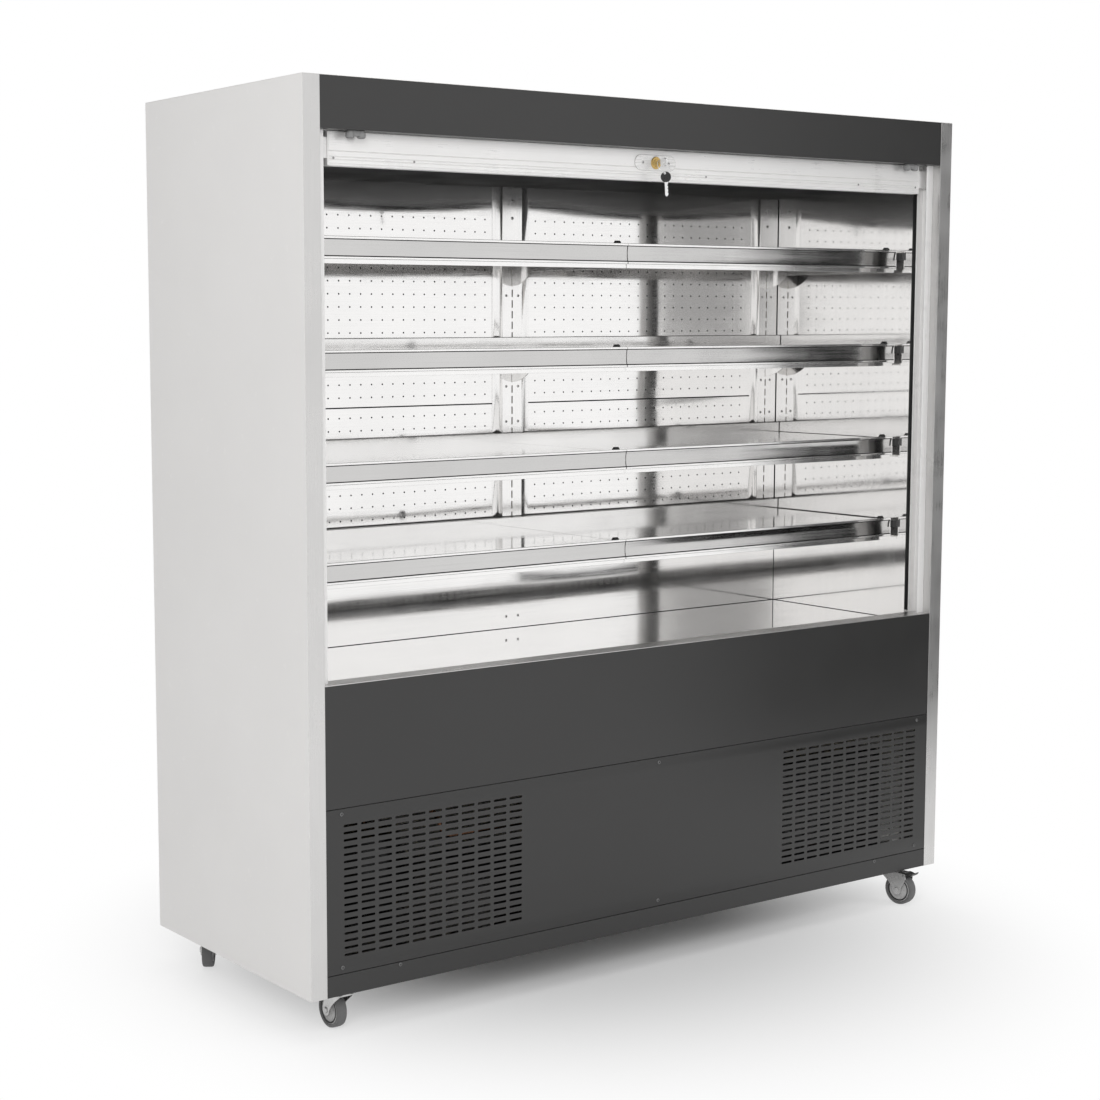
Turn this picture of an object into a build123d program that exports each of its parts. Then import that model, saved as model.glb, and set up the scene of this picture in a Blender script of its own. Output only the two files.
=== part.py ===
from build123d import *
import os
from math import cos, pi, radians, sin, sqrt

# Open multideck display fridge on casters: an insulated steel cabinet with an open front, four
# stainless shelves on slotted uprights, a locking roller shutter and a plug-in cooling unit.
# X runs to the right, Y to the back and Z up. The origin is on the floor, under the middle of
# the footprint, which runs from the tip of the brake pedal to the back of the cabinet.

# ---------------------------------------------------------------- driving dimensions, in mm
# Cabinet
cabinet_width = 1800.0
cabinet_depth = 643.0
body_height = 1797.0
side_wall = 37.5                # side panel, from its outer skin to the inner face
skin = 1.0                      # painted outer sheet
liner = 1.0                     # stainless inner sheet
panel_sheet = 1.2               # folded dark panels
panel_recess = 1.0              # dark panels behind the front face of the side trims
panel_seam = 1.2                # open joint between two dark panels
seat = 0.3                      # clearance where a loose piece sits on its carrier
run = 0.08                      # radial clearance of a turning pin
few_sides = 16                  # sides of a small round piece
rear_foam = 60.0
rear_duct = 36.0                # air duct between the insulated back and the back panels
floor_foam = 50.0
roof_foam = 96.0
roof_duct = 55.0                # air duct between the insulated roof and the ceiling

# Front, measured up from the underside of the body
kick_height = 43.0
service_height = 378.5
machine_height = 440.0          # underside of the insulated floor
sill_height = 627.0
deck_height = 602.0
canopy_height = 100.5
panel_return = 20.0             # folded edge of a dark panel

# Depths, measured back from the front face
trim_return = 82.0              # depth of the stainless reveal beside the opening
sill_depth = 50.0
deck_front = 145.0
deck_flange = 48.0              # front edge of the deck, turned down
upright_step = 7.0              # raised middle of an upright, in front of its flanges
shelf_front = 125.0
shelf_rear_gap = 13.0           # shelf's rear edge to the uprights

# Slotted uprights
upright_half = 28.5             # raised middle of the centre upright
upright_flange = 25.0
corner_width = 63.5             # raised part of a corner upright, up to the side liner
corner_slot = 38.5              # its slot column, measured from the side liner
slot_pitch = 25.0
slot_height = 17.0
slot_width = 3.0
slots_below = 1                 # slots below the upper hooks of the lowest shelf
panel_split = 1140.0            # joint between lower and upper back panels

# Shelves
shelf_sheet = 1.2
lowest_shelf = 243.5            # above the deck
top_shelf_room = 149.0          # least height over the top shelf
shelf_shares = (0, 0.31, 0.65, 1)   # of the slots between the lowest and the top shelf
shelf_side_gap = 15.0           # shelf end to side liner
shelf_split = 3.0               # joint between the two trays of a level
shelf_flange = 48.0             # front edge of a tray
shelf_rear_flange = 18.0
bracket_sheet = 2.0
bracket_drop = 80.0             # bracket's lowest point below the shelf top, at the upright
bracket_bulge = 75.0            # length of its curved heel
hook_drop = 22.0                # shelf top to the upper slot's middle
hook_height = 13.0
hook_length = 9.0

# Ticket strips on the front edges of the shelves
strip_height = 39.0
strip_sheet = 1.5
strip_stand_off = 6.5
strip_lip = 6.0

# Grilles of the service panel
grille_columns = 11
grille_rows = 19
grille_pitch_x = 41.0
grille_pitch_z = 14.55
grille_slot_length = 33.0
grille_slot_height = 5.0
grille_inset = 262.5            # grille's middle to the inner face of the side wall
grille_middle_z = 212.5

# Return-air grille in front of the deck
return_sheet = 3.0
return_slots = 7
return_pitch = 12.0
return_slot = 6.0
return_border = 20.0

# Vents of the rear cover
vent_rows = 6
vent_pitch = 22.0
vent_length = 330.0
vent_height = 6.0
vent_inset = 342.5              # vents' middle to the inner face of the side wall
vent_middle_z = 230.0

# Roller shutter
shutter_plane = 38.0            # middle of the slats, back from the front face
slat_thickness = 5.5
slat_side_gap = 6.5             # slat end to inner face
rail_height = 66.0
rail_depth = 22.0
rail_wall = 2.0
rail_lip = 14.0
rail_show = 66.5                # rail's lower edge below the canopy when open
rail_end_gap = 39.5             # rail end to inner face
shoe_height = 40.0
shoe_thickness = 5.0
guide_front = 22.0
guide_depth = 30.0
guide_reach = 21.0
guide_wall = 2.5
coil_radius = 49.4
axle_radius = 6.0
coil_roof_gap = 4.6
coil_end_gap = 4.0
housing_sheet = 1.2
housing_clearance = 5.0
cheek_sheet = 2.0
outlet_height = 12.0
outlet_front = 60.0
outlet_rear = 132.0
outlet_cell = 120.0
outlet_rib = 4.0

# Lock in the shutter rail
lock_height = 38.5              # lock's middle above the rail's lower edge
plate_length = 115.0
plate_width = 33.0
plate_thickness = 2.5
barrel_radius = 13.5
barrel_proud = 2.5
plug_radius = 7.0
bow_radius = 8.0
bow_hole = 2.6
bow_sheet = 1.6
bow_reach = 25.0                # middle of the bow in front of the barrel's face
key_shank = 8.0
bolt_side = 8.0
bolt_length = 34.0
bolt_throw = 12.0
bolt_play = 0.6                 # between bolt and the sill's square hole
keeper = 12.0                   # pocket in the front wall for the bolt
ring_radius = 16.0
ring_wire = 0.6
ring_lean = 28.0                # degrees forward, over the first key's bow
spare_bow = 11.5
spare_bow_sheet = 3.0
spare_blade = 32.0
spare_hole_drop = 8.3           # ring above the middle of the spare key's bow

# Seals and stops
seal_front = 56.0
seal_width = 24.0
seal_proud = 3.0
stop_inset = 88.0
stop_radius = 9.0
stop_length = 47.4
stop_height = 15.0
stop_foot = 30.0

# Casters
caster_height = 90.0
caster_inset = 98.0             # swivel axis to the cabinet's side
caster_setback = 50.0           # swivel axis to the cabinet's front or back
caster_trail = 28.0
wheel_radius = 37.5
wheel_width = 24.0
tread_chamfer = 4.0
wheel_axle = 4.0
mount_plate_x = 70.0
mount_plate_y = 84.0
mount_plate = 2.5
race_radius = 27.0
race_height = 7.5
king_pin = 6.0
cheek_gap = 2.5                 # wheel side to fork cheek
fork_sheet = 2.5
fork_heel = 25.0
axle_boss = 12.0
axle_nut = 6.5
pedal_pivot_reach = 46.0        # swivel axis to the pedal's pin
pedal_pivot_drop = 14.0         # pin below the underside of the body
pedal_pin = 3.0
pedal_reach = 70.0              # swivel axis to the pedal's tip
pedal_heel = 6.0
pedal_waist = 8.0
swivel_angles = {"front_left": 180.0, "front_right": 8.0, "rear_left": 325.0, "rear_right": 200.0}

# Machine compartment
frame_tube = 40.0
frame_tube_width = 30.0
frame_cross_width = 76.0
base_sheet = 1.2
base_lip = 12.0
compressor_inset = 302.5        # compressor's middle to the inner face of the side wall
compressor_y = 330.0
compressor_radius = 92.0
compressor_height = 210.0
compressor_foot = 20.0
condenser_inset = 262.5
condenser_width = 340.0
condenser_height = 250.0
condenser_depth = 55.0
condenser_front = 60.0
condenser_fins = 12
fin_sheet = 1.5
shroud_depth = 45.0
shroud_sheet = 1.5
condenser_fan_radius = 105.0
fan_tip_gap = 6.0
fan_hub = 26.0
fan_hub_length = 24.0
fan_blades = 5
blade_pitch = 40.0              # degrees out of the fan's plane
blade_margin = 3.0              # hub length that the blades leave free
blade_waist = 5.0               # blade narrower at the hub than at its tip
fan_axle = 4.0
fan_stay = 16.0
evaporator_fan_radius = 44.0
evaporator_fan_inset = 502.5
evaporator_fan_hub = 15.0
evaporator_fan_hub_length = 16.0
fan_plate_y = 170.0
evaporator_front = 240.0
evaporator_depth = 180.0
evaporator_inset = 212.5        # evaporator's end to the inner face of the side wall
evaporator_height = 92.0
evaporator_fins = 14
tray_gap = 168.0                # drip tray to the compressor
tray_length = 300.0
tray_width = 240.0
tray_height = 60.0
box_gap = 50.0                  # electrical box to the drip tray
box_length = 160.0
box_width = 90.0
box_height = 180.0
pipe_radius = 5.0
pipe_sides = 6
pipe_bend = 30.0
pipe_hole = 8.0

# Screws
screw_head = 4.5
screw_proud = 1.6
screw_sides = 8
panel_screw_inset = 36.5        # outer screws to the inner face of the side wall
panel_screw_below = 10.5        # upper screws below the service panel's top edge
panel_screw_above = 13.0        # lower screws above its bottom edge
kick_screw_inset = 174.5
kick_screw_below = 4.5

# ---------------------------------------------------------------- places worked out from them
underside = caster_height
top = underside + body_height
front_overhang = pedal_reach - caster_setback
front = -(cabinet_depth - front_overhang) / 2
back = front + cabinet_depth
half_width = cabinet_width / 2
half_inner = half_width - side_wall
foam_face = half_inner + liner

kick_top = underside + kick_height
service_bottom = kick_top + panel_seam
service_top = underside + service_height
machine_top = underside + machine_height
tub_floor = machine_top + floor_foam + panel_sheet
deck_top = underside + deck_height
sill_top = underside + sill_height
roof_under = top - skin
duct_top = roof_under - roof_foam
ceiling = duct_top - roof_duct
canopy_bottom = top - canopy_height
panel_face = front + panel_recess

rear_foam_face = back - skin - rear_foam
back_plane = rear_foam_face - rear_duct
flange_face = back_plane - liner
upright_front = flange_face - upright_step
foot_face = upright_front - liner
lowest_top = deck_top + lowest_shelf
foot_top = lowest_top - bracket_drop - panel_seam
slots_above = int((ceiling - lowest_top - top_shelf_room) // slot_pitch)
shelf_tops = [lowest_top + round(share * slots_above) * slot_pitch for share in shelf_shares]
corner_slot_x = half_inner - corner_slot
shelf_end = half_inner - shelf_side_gap
tray_front = front + shelf_front
tray_rear = upright_front - shelf_rear_gap

slat_half = half_inner - slat_side_gap
rail_half = half_inner - rail_end_gap
rail_bottom = canopy_bottom - rail_show
rail_top = rail_bottom + rail_height
rail_middle_y = front + shutter_plane + rail_depth / 4
rail_front = rail_middle_y - rail_depth / 2
coil_y = front + shutter_plane + coil_radius - slat_thickness / 2
coil_z = roof_under - coil_roof_gap - coil_radius
housing_floor = coil_z - coil_radius - housing_clearance
housing_back = coil_y + coil_radius + housing_clearance
curtain_top = coil_z - sqrt(coil_radius ** 2 - (coil_radius - slat_thickness) ** 2) - seat
lock_z = rail_bottom + lock_height
plate_face = rail_front - plate_thickness
barrel_face = plate_face - barrel_proud

grille_x = half_inner - grille_inset
vent_x = half_inner - vent_inset
condenser_x = half_inner - condenser_inset
compressor_x = compressor_inset - half_inner
tray_x = compressor_x + compressor_radius + tray_gap + tray_length / 2
box_x = tray_x + tray_length / 2 + box_gap + box_length / 2
evaporator_half = half_inner - evaporator_inset
evaporator_fan_x = half_inner - evaporator_fan_inset
suction_y = front + evaporator_front + evaporator_depth + pipe_bend
swivel_x = half_width - caster_inset
axle_z = wheel_radius
fork_top = underside - mount_plate - seat
crown_z = fork_top - race_height
fork_half = wheel_width / 2 + cheek_gap

os.makedirs("parts", exist_ok=True)


# ---------------------------------------------------------------- shapes used many times
def block(x_span, y_span, z_span, mode=Mode.ADD):
    """Square-edged slab between two limits on each axis, in the part being built."""
    with BuildSketch(Plane.XY.offset(z_span[0])) as outline:
        with Locations(((x_span[0] + x_span[1]) / 2, (y_span[0] + y_span[1]) / 2)):
            Rectangle(x_span[1] - x_span[0], y_span[1] - y_span[0])
    extrude(outline.sketch, amount=z_span[1] - z_span[0], mode=mode)


def folded(plane, points, sheet, side, length):
    """Sheet folded along a run of points, its thickness laid to one side, then extruded."""
    with BuildSketch(plane) as outline:
        with BuildLine():
            Polyline(*points)
            offset(amount=sheet, side=side, kind=Kind.INTERSECTION)
        make_face()
    extrude(outline.sketch, amount=length)


def profile(plane, points, length, mode=Mode.ADD):
    """Closed outline of straight sides, extruded."""
    with BuildSketch(plane) as outline:
        with BuildLine():
            Polyline(*points, close=True)
        make_face()
    extrude(outline.sketch, amount=length, mode=mode)


def across(half):
    """Plane square to X at the left end of a piece that is centred on the cabinet."""
    return Plane.YZ.offset(-half)


def level(z):
    """Horizontal plane at a height."""
    return Plane.XY.offset(z)


def facing_front(y):
    """Upright plane across the cabinet whose extrusions run forwards."""
    return Plane.XZ.offset(-y)


def mirrored_spans(low, high):
    """The same span on the right and on the left of the middle."""
    return ((low, high), (-high, -low))


# ---------------------------------------------------------------- base
# Ladder frame of square tube, closed by a floor pan
with BuildPart() as base_frame:
    for rail_y in (front + panel_return + panel_recess, back - skin - frame_tube_width):
        block(
            (-half_inner, half_inner),
            (rail_y, rail_y + frame_tube_width),
            (underside, underside + frame_tube),
        )
    for cross_x in (-swivel_x, swivel_x):
        block(
            (cross_x - frame_cross_width / 2, cross_x + frame_cross_width / 2),
            (front + panel_return + panel_recess, back - skin),
            (underside, underside + frame_tube),
        )
base_frame.part.label = "base_frame"
export_step(base_frame.part, "parts/base_frame.step")

pan_z = underside + frame_tube
with BuildPart() as base_pan:
    folded(
        across(half_inner),
        [
            (front + panel_return + panel_recess, pan_z + base_lip),
            (front + panel_return + panel_recess, pan_z),
            (back - skin, pan_z),
            (back - skin, pan_z + base_lip),
        ],
        base_sheet,
        Side.LEFT,
        2 * half_inner,
    )
base_pan.part.label = "base_pan"
export_step(base_pan.part, "parts/base_pan.step")


# ---------------------------------------------------------------- side walls
# Outer sheet of each side wall, folded round the front and the back edge
with BuildPart() as side_panels:
    for side in (-1, 1):
        folded(
            level(underside),
            [
                (side * foam_face, front + liner),
                (side * half_width, front + liner),
                (side * half_width, back),
                (side * foam_face, back),
            ],
            skin,
            Side.LEFT if side > 0 else Side.RIGHT,
            body_height - skin,
        )
side_panels.part.label = "side_panels"
export_step(side_panels.part, "parts/side_panels.step")

# Stainless trims: front post of each side wall and the reveal beside the opening
with BuildPart() as side_trims:
    for side in (-1, 1):
        folded(
            level(underside),
            [
                (side * half_width, front),
                (side * half_inner, front),
                (side * half_inner, front + trim_return),
            ],
            liner,
            Side.RIGHT if side > 0 else Side.LEFT,
            body_height - skin,
        )
side_trims.part.label = "side_trims"
export_step(side_trims.part, "parts/side_trims.step")

# Polished inner faces of the side walls
liner_front = front + trim_return
with BuildPart() as side_liners:
    for side in (-1, 1):
        folded(
            level(machine_top),
            [
                (side * half_inner, liner_front),
                (side * half_inner, rear_foam_face),
            ],
            liner,
            Side.RIGHT if side > 0 else Side.LEFT,
            duct_top - machine_top,
        )
side_liners.part.label = "side_liners"
export_step(side_liners.part, "parts/side_liners.step")

# Foam slabs of the two side walls, the back, the roof and the floor with its front wall
slab_top = tub_floor - panel_sheet
with BuildPart() as insulation_foam:
    for low, high in mirrored_spans(foam_face, half_width - skin):
        block((low, high), (front + liner + skin, back - skin), (machine_top, roof_under))
    block((-half_inner, half_inner), (rear_foam_face, back - skin), (slab_top + seat, roof_under))
    block(
        (-half_inner, half_inner),
        (housing_back + housing_sheet, rear_foam_face - seat),
        (duct_top, roof_under),
    )
    wall_front = panel_face + panel_sheet
    wall_rear = front + sill_depth - panel_sheet
    profile(
        across(half_inner),
        [
            (wall_front, machine_top),
            (back - skin, machine_top),
            (back - skin, slab_top),
            (wall_rear, slab_top),
            (wall_rear, sill_top - 2 * panel_sheet),
            (wall_front, sill_top - 2 * panel_sheet),
        ],
        2 * half_inner,
    )
    with BuildSketch(level(machine_top)):
        with Locations((compressor_x, suction_y)):
            RegularPolygon(pipe_hole, few_sides)
    extrude(amount=floor_foam, mode=Mode.SUBTRACT)
    # pocket under the sill for the shutter's bolt
    block(
        (-keeper / 2, keeper / 2),
        (rail_middle_y - keeper / 2, wall_rear),
        (sill_top - bolt_throw - panel_sheet - keeper, sill_top),
        mode=Mode.SUBTRACT,
    )
insulation_foam.part.label = "insulation_foam"
export_step(insulation_foam.part, "parts/insulation_foam.step")

# ---------------------------------------------------------------- back and roof
with BuildPart() as rear_panel:
    block((-foam_face, foam_face), (back - skin, back), (machine_top, roof_under))
rear_panel.part.label = "rear_panel"
export_step(rear_panel.part, "parts/rear_panel.step")

# Removable cover of the machine compartment, with a group of vents on each side
with BuildPart() as rear_service_panel:
    block((-foam_face, foam_face), (back - skin, back), (underside, machine_top))
    with BuildSketch(facing_front(back)):
        with Locations((0, underside + vent_middle_z)):
            with GridLocations(2 * vent_x, vent_pitch, 2, vent_rows):
                Rectangle(vent_length, vent_height)
    extrude(amount=skin, mode=Mode.SUBTRACT)
rear_service_panel.part.label = "rear_service_panel"
export_step(rear_service_panel.part, "parts/rear_service_panel.step")

with BuildPart() as roof_panel:
    block((-half_width, half_width), (front, back), (roof_under, top))
roof_panel.part.label = "roof_panel"
export_step(roof_panel.part, "parts/roof_panel.step")

# Dark fascia over the opening, folded in under the roof and behind its lower edge
with BuildPart() as canopy_fascia:
    folded(
        across(half_inner),
        [
            (front + panel_return, roof_under),
            (panel_face, roof_under),
            (panel_face, canopy_bottom),
            (front + guide_front, canopy_bottom),
            (front + guide_front, canopy_bottom + base_lip),
        ],
        panel_sheet,
        Side.LEFT,
        2 * half_inner,
    )
canopy_fascia.part.label = "canopy_fascia"
export_step(canopy_fascia.part, "parts/canopy_fascia.step")

# ---------------------------------------------------------------- dark front panels
with BuildPart() as lower_front_panel:
    folded(
        across(half_inner),
        [
            (front + panel_return, service_top + panel_seam),
            (panel_face, service_top + panel_seam),
            (panel_face, sill_top - panel_sheet),
            (front + panel_return, sill_top - panel_sheet),
        ],
        panel_sheet,
        Side.RIGHT,
        2 * half_inner,
    )
lower_front_panel.part.label = "lower_front_panel"
export_step(lower_front_panel.part, "parts/lower_front_panel.step")

# Removable service panel with its two grilles: rows of long slots, crossed by upright webs
# that stand close behind them
grille_width = (grille_columns - 1) * grille_pitch_x + grille_slot_length
grille_height = (grille_rows - 1) * grille_pitch_z + grille_slot_height
with BuildPart() as service_panel:
    folded(
        across(half_inner),
        [
            (front + panel_return, service_bottom),
            (panel_face, service_bottom),
            (panel_face, service_top),
            (front + panel_return, service_top),
        ],
        panel_sheet,
        Side.RIGHT,
        2 * half_inner,
    )
    with BuildSketch(facing_front(panel_face + panel_sheet)):
        with Locations((0, underside + grille_middle_z)):
            with GridLocations(2 * grille_x, grille_pitch_z, 2, grille_rows):
                Rectangle(grille_width, grille_slot_height)
    extrude(amount=panel_sheet, mode=Mode.SUBTRACT)
    with BuildSketch(facing_front(panel_face + 2 * panel_sheet + seat)):
        with Locations((-grille_x, underside + grille_middle_z), (grille_x, underside + grille_middle_z)):
            with GridLocations(grille_pitch_x, grille_height, grille_columns - 1, 1):
                Rectangle(grille_pitch_x - grille_slot_length, grille_height + 2 * grille_slot_height)
    extrude(amount=panel_sheet)
service_panel.part.label = "rear_service_panel"
export_step(rear_service_panel.part, "parts/rear_service_panel.step")

with BuildPart() as roof_panel:
    block((-half_width, half_width), (front, back), (roof_under, top))
roof_panel.part.label = "roof_panel"
export_step(roof_panel.part, "parts/roof_panel.step")

# Dark fascia over the opening, folded in under the roof and behind its lower edge
with BuildPart() as canopy_fascia:
    folded(
        across(half_inner),
        [
            (front + panel_return, roof_under),
            (panel_face, roof_under),
            (panel_face, canopy_bottom),
            (front + guide_front, canopy_bottom),
            (front + guide_front, canopy_bottom + base_lip),
        ],
        panel_sheet,
        Side.LEFT,
        2 * half_inner,
    )
canopy_fascia.part.label = "canopy_fascia"
export_step(canopy_fascia.part, "parts/canopy_fascia.step")

# ---------------------------------------------------------------- dark front panels
with BuildPart() as lower_front_panel:
    folded(
        across(half_inner),
        [
            (front + panel_return, service_top + panel_seam),
            (panel_face, service_top + panel_seam),
            (panel_face, sill_top - panel_sheet),
            (front + panel_return, sill_top - panel_sheet),
        ],
        panel_sheet,
        Side.RIGHT,
        2 * half_inner,
    )
lower_front_panel.part.label = "lower_front_panel"
export_step(lower_front_panel.part, "parts/lower_front_panel.step")

# Removable service panel with its two grilles: rows of long slots, crossed by upright webs
# that stand close behind them
grille_width = (grille_columns - 1) * grille_pitch_x + grille_slot_length
grille_height = (grille_rows - 1) * grille_pitch_z + grille_slot_height
with BuildPart() as service_panel:
    folded(
        across(half_inner),
        [
            (front + panel_return, service_bottom),
            (panel_face, service_bottom),
            (panel_face, service_top),
            (front + panel_return, service_top),
        ],
        panel_sheet,
        Side.RIGHT,
        2 * half_inner,
    )
    with BuildSketch(facing_front(panel_face + panel_sheet)):
        with Locations((0, underside + grille_middle_z)):
            with GridLocations(2 * grille_x, grille_pitch_z, 2, grille_rows):
                Rectangle(grille_width, grille_slot_height)
    extrude(amount=panel_sheet, mode=Mode.SUBTRACT)
    with BuildSketch(facing_front(panel_face + 2 * panel_sheet)) as webs:
        with Locations((-grille_x, underside + grille_middle_z), (grille_x, underside + grille_middle_z)):
            with GridLocations(grille_pitch_x, grille_pitch_z, grille_columns - 1, 1):
                Rectangle(grille_pitch_x - grille_slot_length, grille_height + 2 * grille_slot_height)
service_panel.part = Compound([service_panel.part, extrude(webs.sketch, amount=panel_sheet)])
service_panel.part.label = "service_panel"
export_step(service_panel.part, "parts/service_panel.step")

with BuildPart() as kick_plate:
    folded(
        across(half_inner),
        [
            (front + panel_return, underside),
            (panel_face, underside),
            (panel_face, kick_top),
            (front + panel_return, kick_top),
        ],
        panel_sheet,
        Side.RIGHT,
        2 * half_inner,
    )
kick_plate.part.label = "kick_plate"
export_step(kick_plate.part, "parts/kick_plate.step")

# ---------------------------------------------------------------- sill, return air and deck
# Stainless sill of the front wall, folded down behind it and on along the tub's floor
with BuildPart() as front_sill:
    folded(
        across(half_inner),
        [
            (panel_face, sill_top),
            (front + sill_depth, sill_top),
            (front + sill_depth, tub_floor),
            (rear_foam_face, tub_floor),
        ],
        panel_sheet,
        Side.RIGHT,
        2 * half_inner,
    )
    with BuildSketch(level(sill_top - panel_sheet)):
        with Locations((0, rail_middle_y)):
            Rectangle(bolt_side + 2 * bolt_play, bolt_side + 2 * bolt_play)
    extrude(amount=panel_sheet, mode=Mode.SUBTRACT)
    with BuildSketch(level(tub_floor - panel_sheet)):
        with Locations((compressor_x, suction_y)):
            RegularPolygon(pipe_hole, few_sides)
    extrude(amount=panel_sheet, mode=Mode.SUBTRACT)
front_sill.part.label = "front_sill"
export_step(front_sill.part, "parts/front_sill.step")

# Return-air grille between sill and deck
return_front = front + sill_depth
return_rear = front + deck_front
with BuildPart() as return_air_grille:
    block((-half_inner, half_inner), (return_front, return_rear), (deck_top - return_sheet, deck_top))
    with BuildSketch(level(deck_top - return_sheet)):
        with Locations((0, (return_front + return_rear) / 2)):
            with GridLocations(half_inner, return_pitch, 2, return_slots):
                Rectangle(half_inner - 2 * return_border, return_slot)
    extrude(amount=return_sheet, mode=Mode.SUBTRACT)
return_air_grille.part.label = "return_air_grille"
export_step(return_air_grille.part, "parts/return_air_grille.step")

# Polished deck, the lowest display level, turned down at its front and rear
deck_rear = foot_face - seat
with BuildPart() as deck_tray:
    folded(
        across(half_inner),
        [
            (return_rear, deck_top - deck_flange),
            (return_rear, deck_top),
            (deck_rear, deck_top),
            (deck_rear, deck_top - base_lip),
        ],
        shelf_sheet,
        Side.RIGHT,
        2 * half_inner,
    )
deck_tray.part.label = "deck_tray"
export_step(deck_tray.part, "parts/deck_tray.step")

# ---------------------------------------------------------------- uprights and back panels
def slot_column(middle_x):
    """Hook slots of one upright, cut through its raised face."""
    rows = slots_above + slots_below + 1
    middle_row = (slots_above - slots_below) / 2
    middle_z = lowest_top - hook_drop + middle_row * slot_pitch
    with BuildSketch(facing_front(upright_front + liner)) as slots:
        with Locations((middle_x, middle_z)):
            with GridLocations(slot_pitch, slot_pitch, 1, rows):
                Rectangle(slot_width, slot_height)
    extrude(slots.sketch, amount=liner, mode=Mode.SUBTRACT)


with BuildPart() as uprights:
    folded(
        level(tub_floor),
        [
            (-upright_half - upright_flange, flange_face),
            (-upright_half, flange_face),
            (-upright_half, upright_front),
            (upright_half, upright_front),
            (upright_half, flange_face),
            (upright_half + upright_flange, flange_face),
        ],
        liner,
        Side.LEFT,
        ceiling - tub_floor,
    )
    for side in (-1, 1):
        folded(
            level(tub_floor),
            [
                (side * (half_inner - corner_width - upright_flange), flange_face),
                (side * (half_inner - corner_width), flange_face),
                (side * (half_inner - corner_width), upright_front),
                (side * half_inner, upright_front),
            ],
            liner,
            Side.LEFT if side > 0 else Side.RIGHT,
            ceiling - tub_floor,
        )
    for column_x in (-corner_slot_x, 0, corner_slot_x):
        slot_column(column_x)
uprights.part.label = "uprights"
export_step(uprights.part, "parts/uprights.step")

# Back panels of the two bays, lower and upper, each a tray on the insulated back, and the plain
# panel across the feet of the uprights
bay_inner = upright_half + liner
bay_outer = half_inner - corner_width - liner
split_z = underside + panel_split
with BuildPart() as back_panels:
    for side in (-1, 1):
        for low, high in (
            (deck_top - base_lip, split_z - panel_seam / 2),
            (split_z + panel_seam / 2, ceiling),
        ):
            folded(
                level(low),
                [
                    (side * bay_inner, rear_foam_face),
                    (side * bay_inner, back_plane),
                    (side * bay_outer, back_plane),
                    (side * bay_outer, rear_foam_face),
                ],
                liner,
                Side.RIGHT if side < 0 else Side.LEFT,
                high - low,
            )
    block((-half_inner, half_inner), (foot_face, upright_front), (deck_top - base_lip, foot_top))
back_panels.part.label = "back_panels"
export_step(back_panels.part, "parts/back_panels.step")

# ---------------------------------------------------------------- ceiling and air outlet
with BuildPart() as ceiling_panel:
    folded(
        across(half_inner),
        [
            (front + outlet_rear, ceiling + outlet_height),
            (front + outlet_rear, ceiling),
            (back_plane, ceiling),
        ],
        liner,
        Side.LEFT,
        2 * half_inner,
    )
ceiling_panel.part.label = "ceiling_panel"
export_step(ceiling_panel.part, "parts/ceiling_panel.step")

# Straightener of the air curtain: a long frame of cells
outlet_cells = int((2 * half_inner - outlet_rib) // (outlet_cell + outlet_rib))
with BuildPart() as air_outlet:
    block(
        (-half_inner, half_inner),
        (front + outlet_front + housing_sheet, front + outlet_rear),
        (ceiling + housing_sheet, ceiling + outlet_height),
    )
    with BuildSketch(level(ceiling + housing_sheet)):
        with Locations((0, front + (outlet_front + outlet_rear) / 2)):
            with GridLocations(outlet_cell + outlet_rib, outlet_rear, outlet_cells, 1):
                Rectangle(outlet_cell, outlet_rear - outlet_front - 4 * outlet_rib)
    extrude(amount=outlet_height - housing_sheet, mode=Mode.SUBTRACT)
air_outlet.part.label = "air_outlet"
export_step(air_outlet.part, "parts/air_outlet.step")

# Box round the shutter roller, with a cheek at each end that carries the roller's axle
with BuildPart() as shutter_housing:
    folded(
        across(half_inner),
        [
            (housing_back, roof_under),
            (housing_back, housing_floor),
            (front + outlet_front, housing_floor),
            (front + outlet_front, ceiling),
            (front + outlet_front + base_lip, ceiling),
        ],
        housing_sheet,
        Side.LEFT,
        2 * half_inner,
    )
    for low, high in mirrored_spans(half_inner - cheek_sheet, half_inner):
        block((low, high), (front + outlet_front, housing_back), (housing_floor, roof_under))
    with BuildSketch(across(half_inner)):
        with Locations((coil_y, coil_z)):
            RegularPolygon(axle_radius + run, few_sides, major_radius=False)
    extrude(amount=2 * half_inner, mode=Mode.SUBTRACT)
shutter_housing.part.label = "shutter_housing"
export_step(shutter_housing.part, "parts/shutter_housing.step")


# ---------------------------------------------------------------- shelves
def shelf_trays(shelf_top):
    """The two trays of one level, side by side."""
    with BuildPart() as trays:
        for low in (-shelf_end, shelf_split / 2):
            folded(
                Plane.YZ.offset(low),
                [
                    (tray_front, shelf_top - shelf_flange),
                    (tray_front, shelf_top),
                    (tray_rear, shelf_top),
                    (tray_rear, shelf_top - shelf_rear_flange),
                ],
                shelf_sheet,
                Side.RIGHT,
                shelf_end - shelf_split / 2,
            )
    return trays


for number, shelf_top in enumerate(shelf_tops, start=1):
    shelf = shelf_trays(shelf_top)
    shelf.part.label = f"shelf_{number}"
    export_step(shelf.part, f"parts/shelf_{number}.step")

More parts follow.
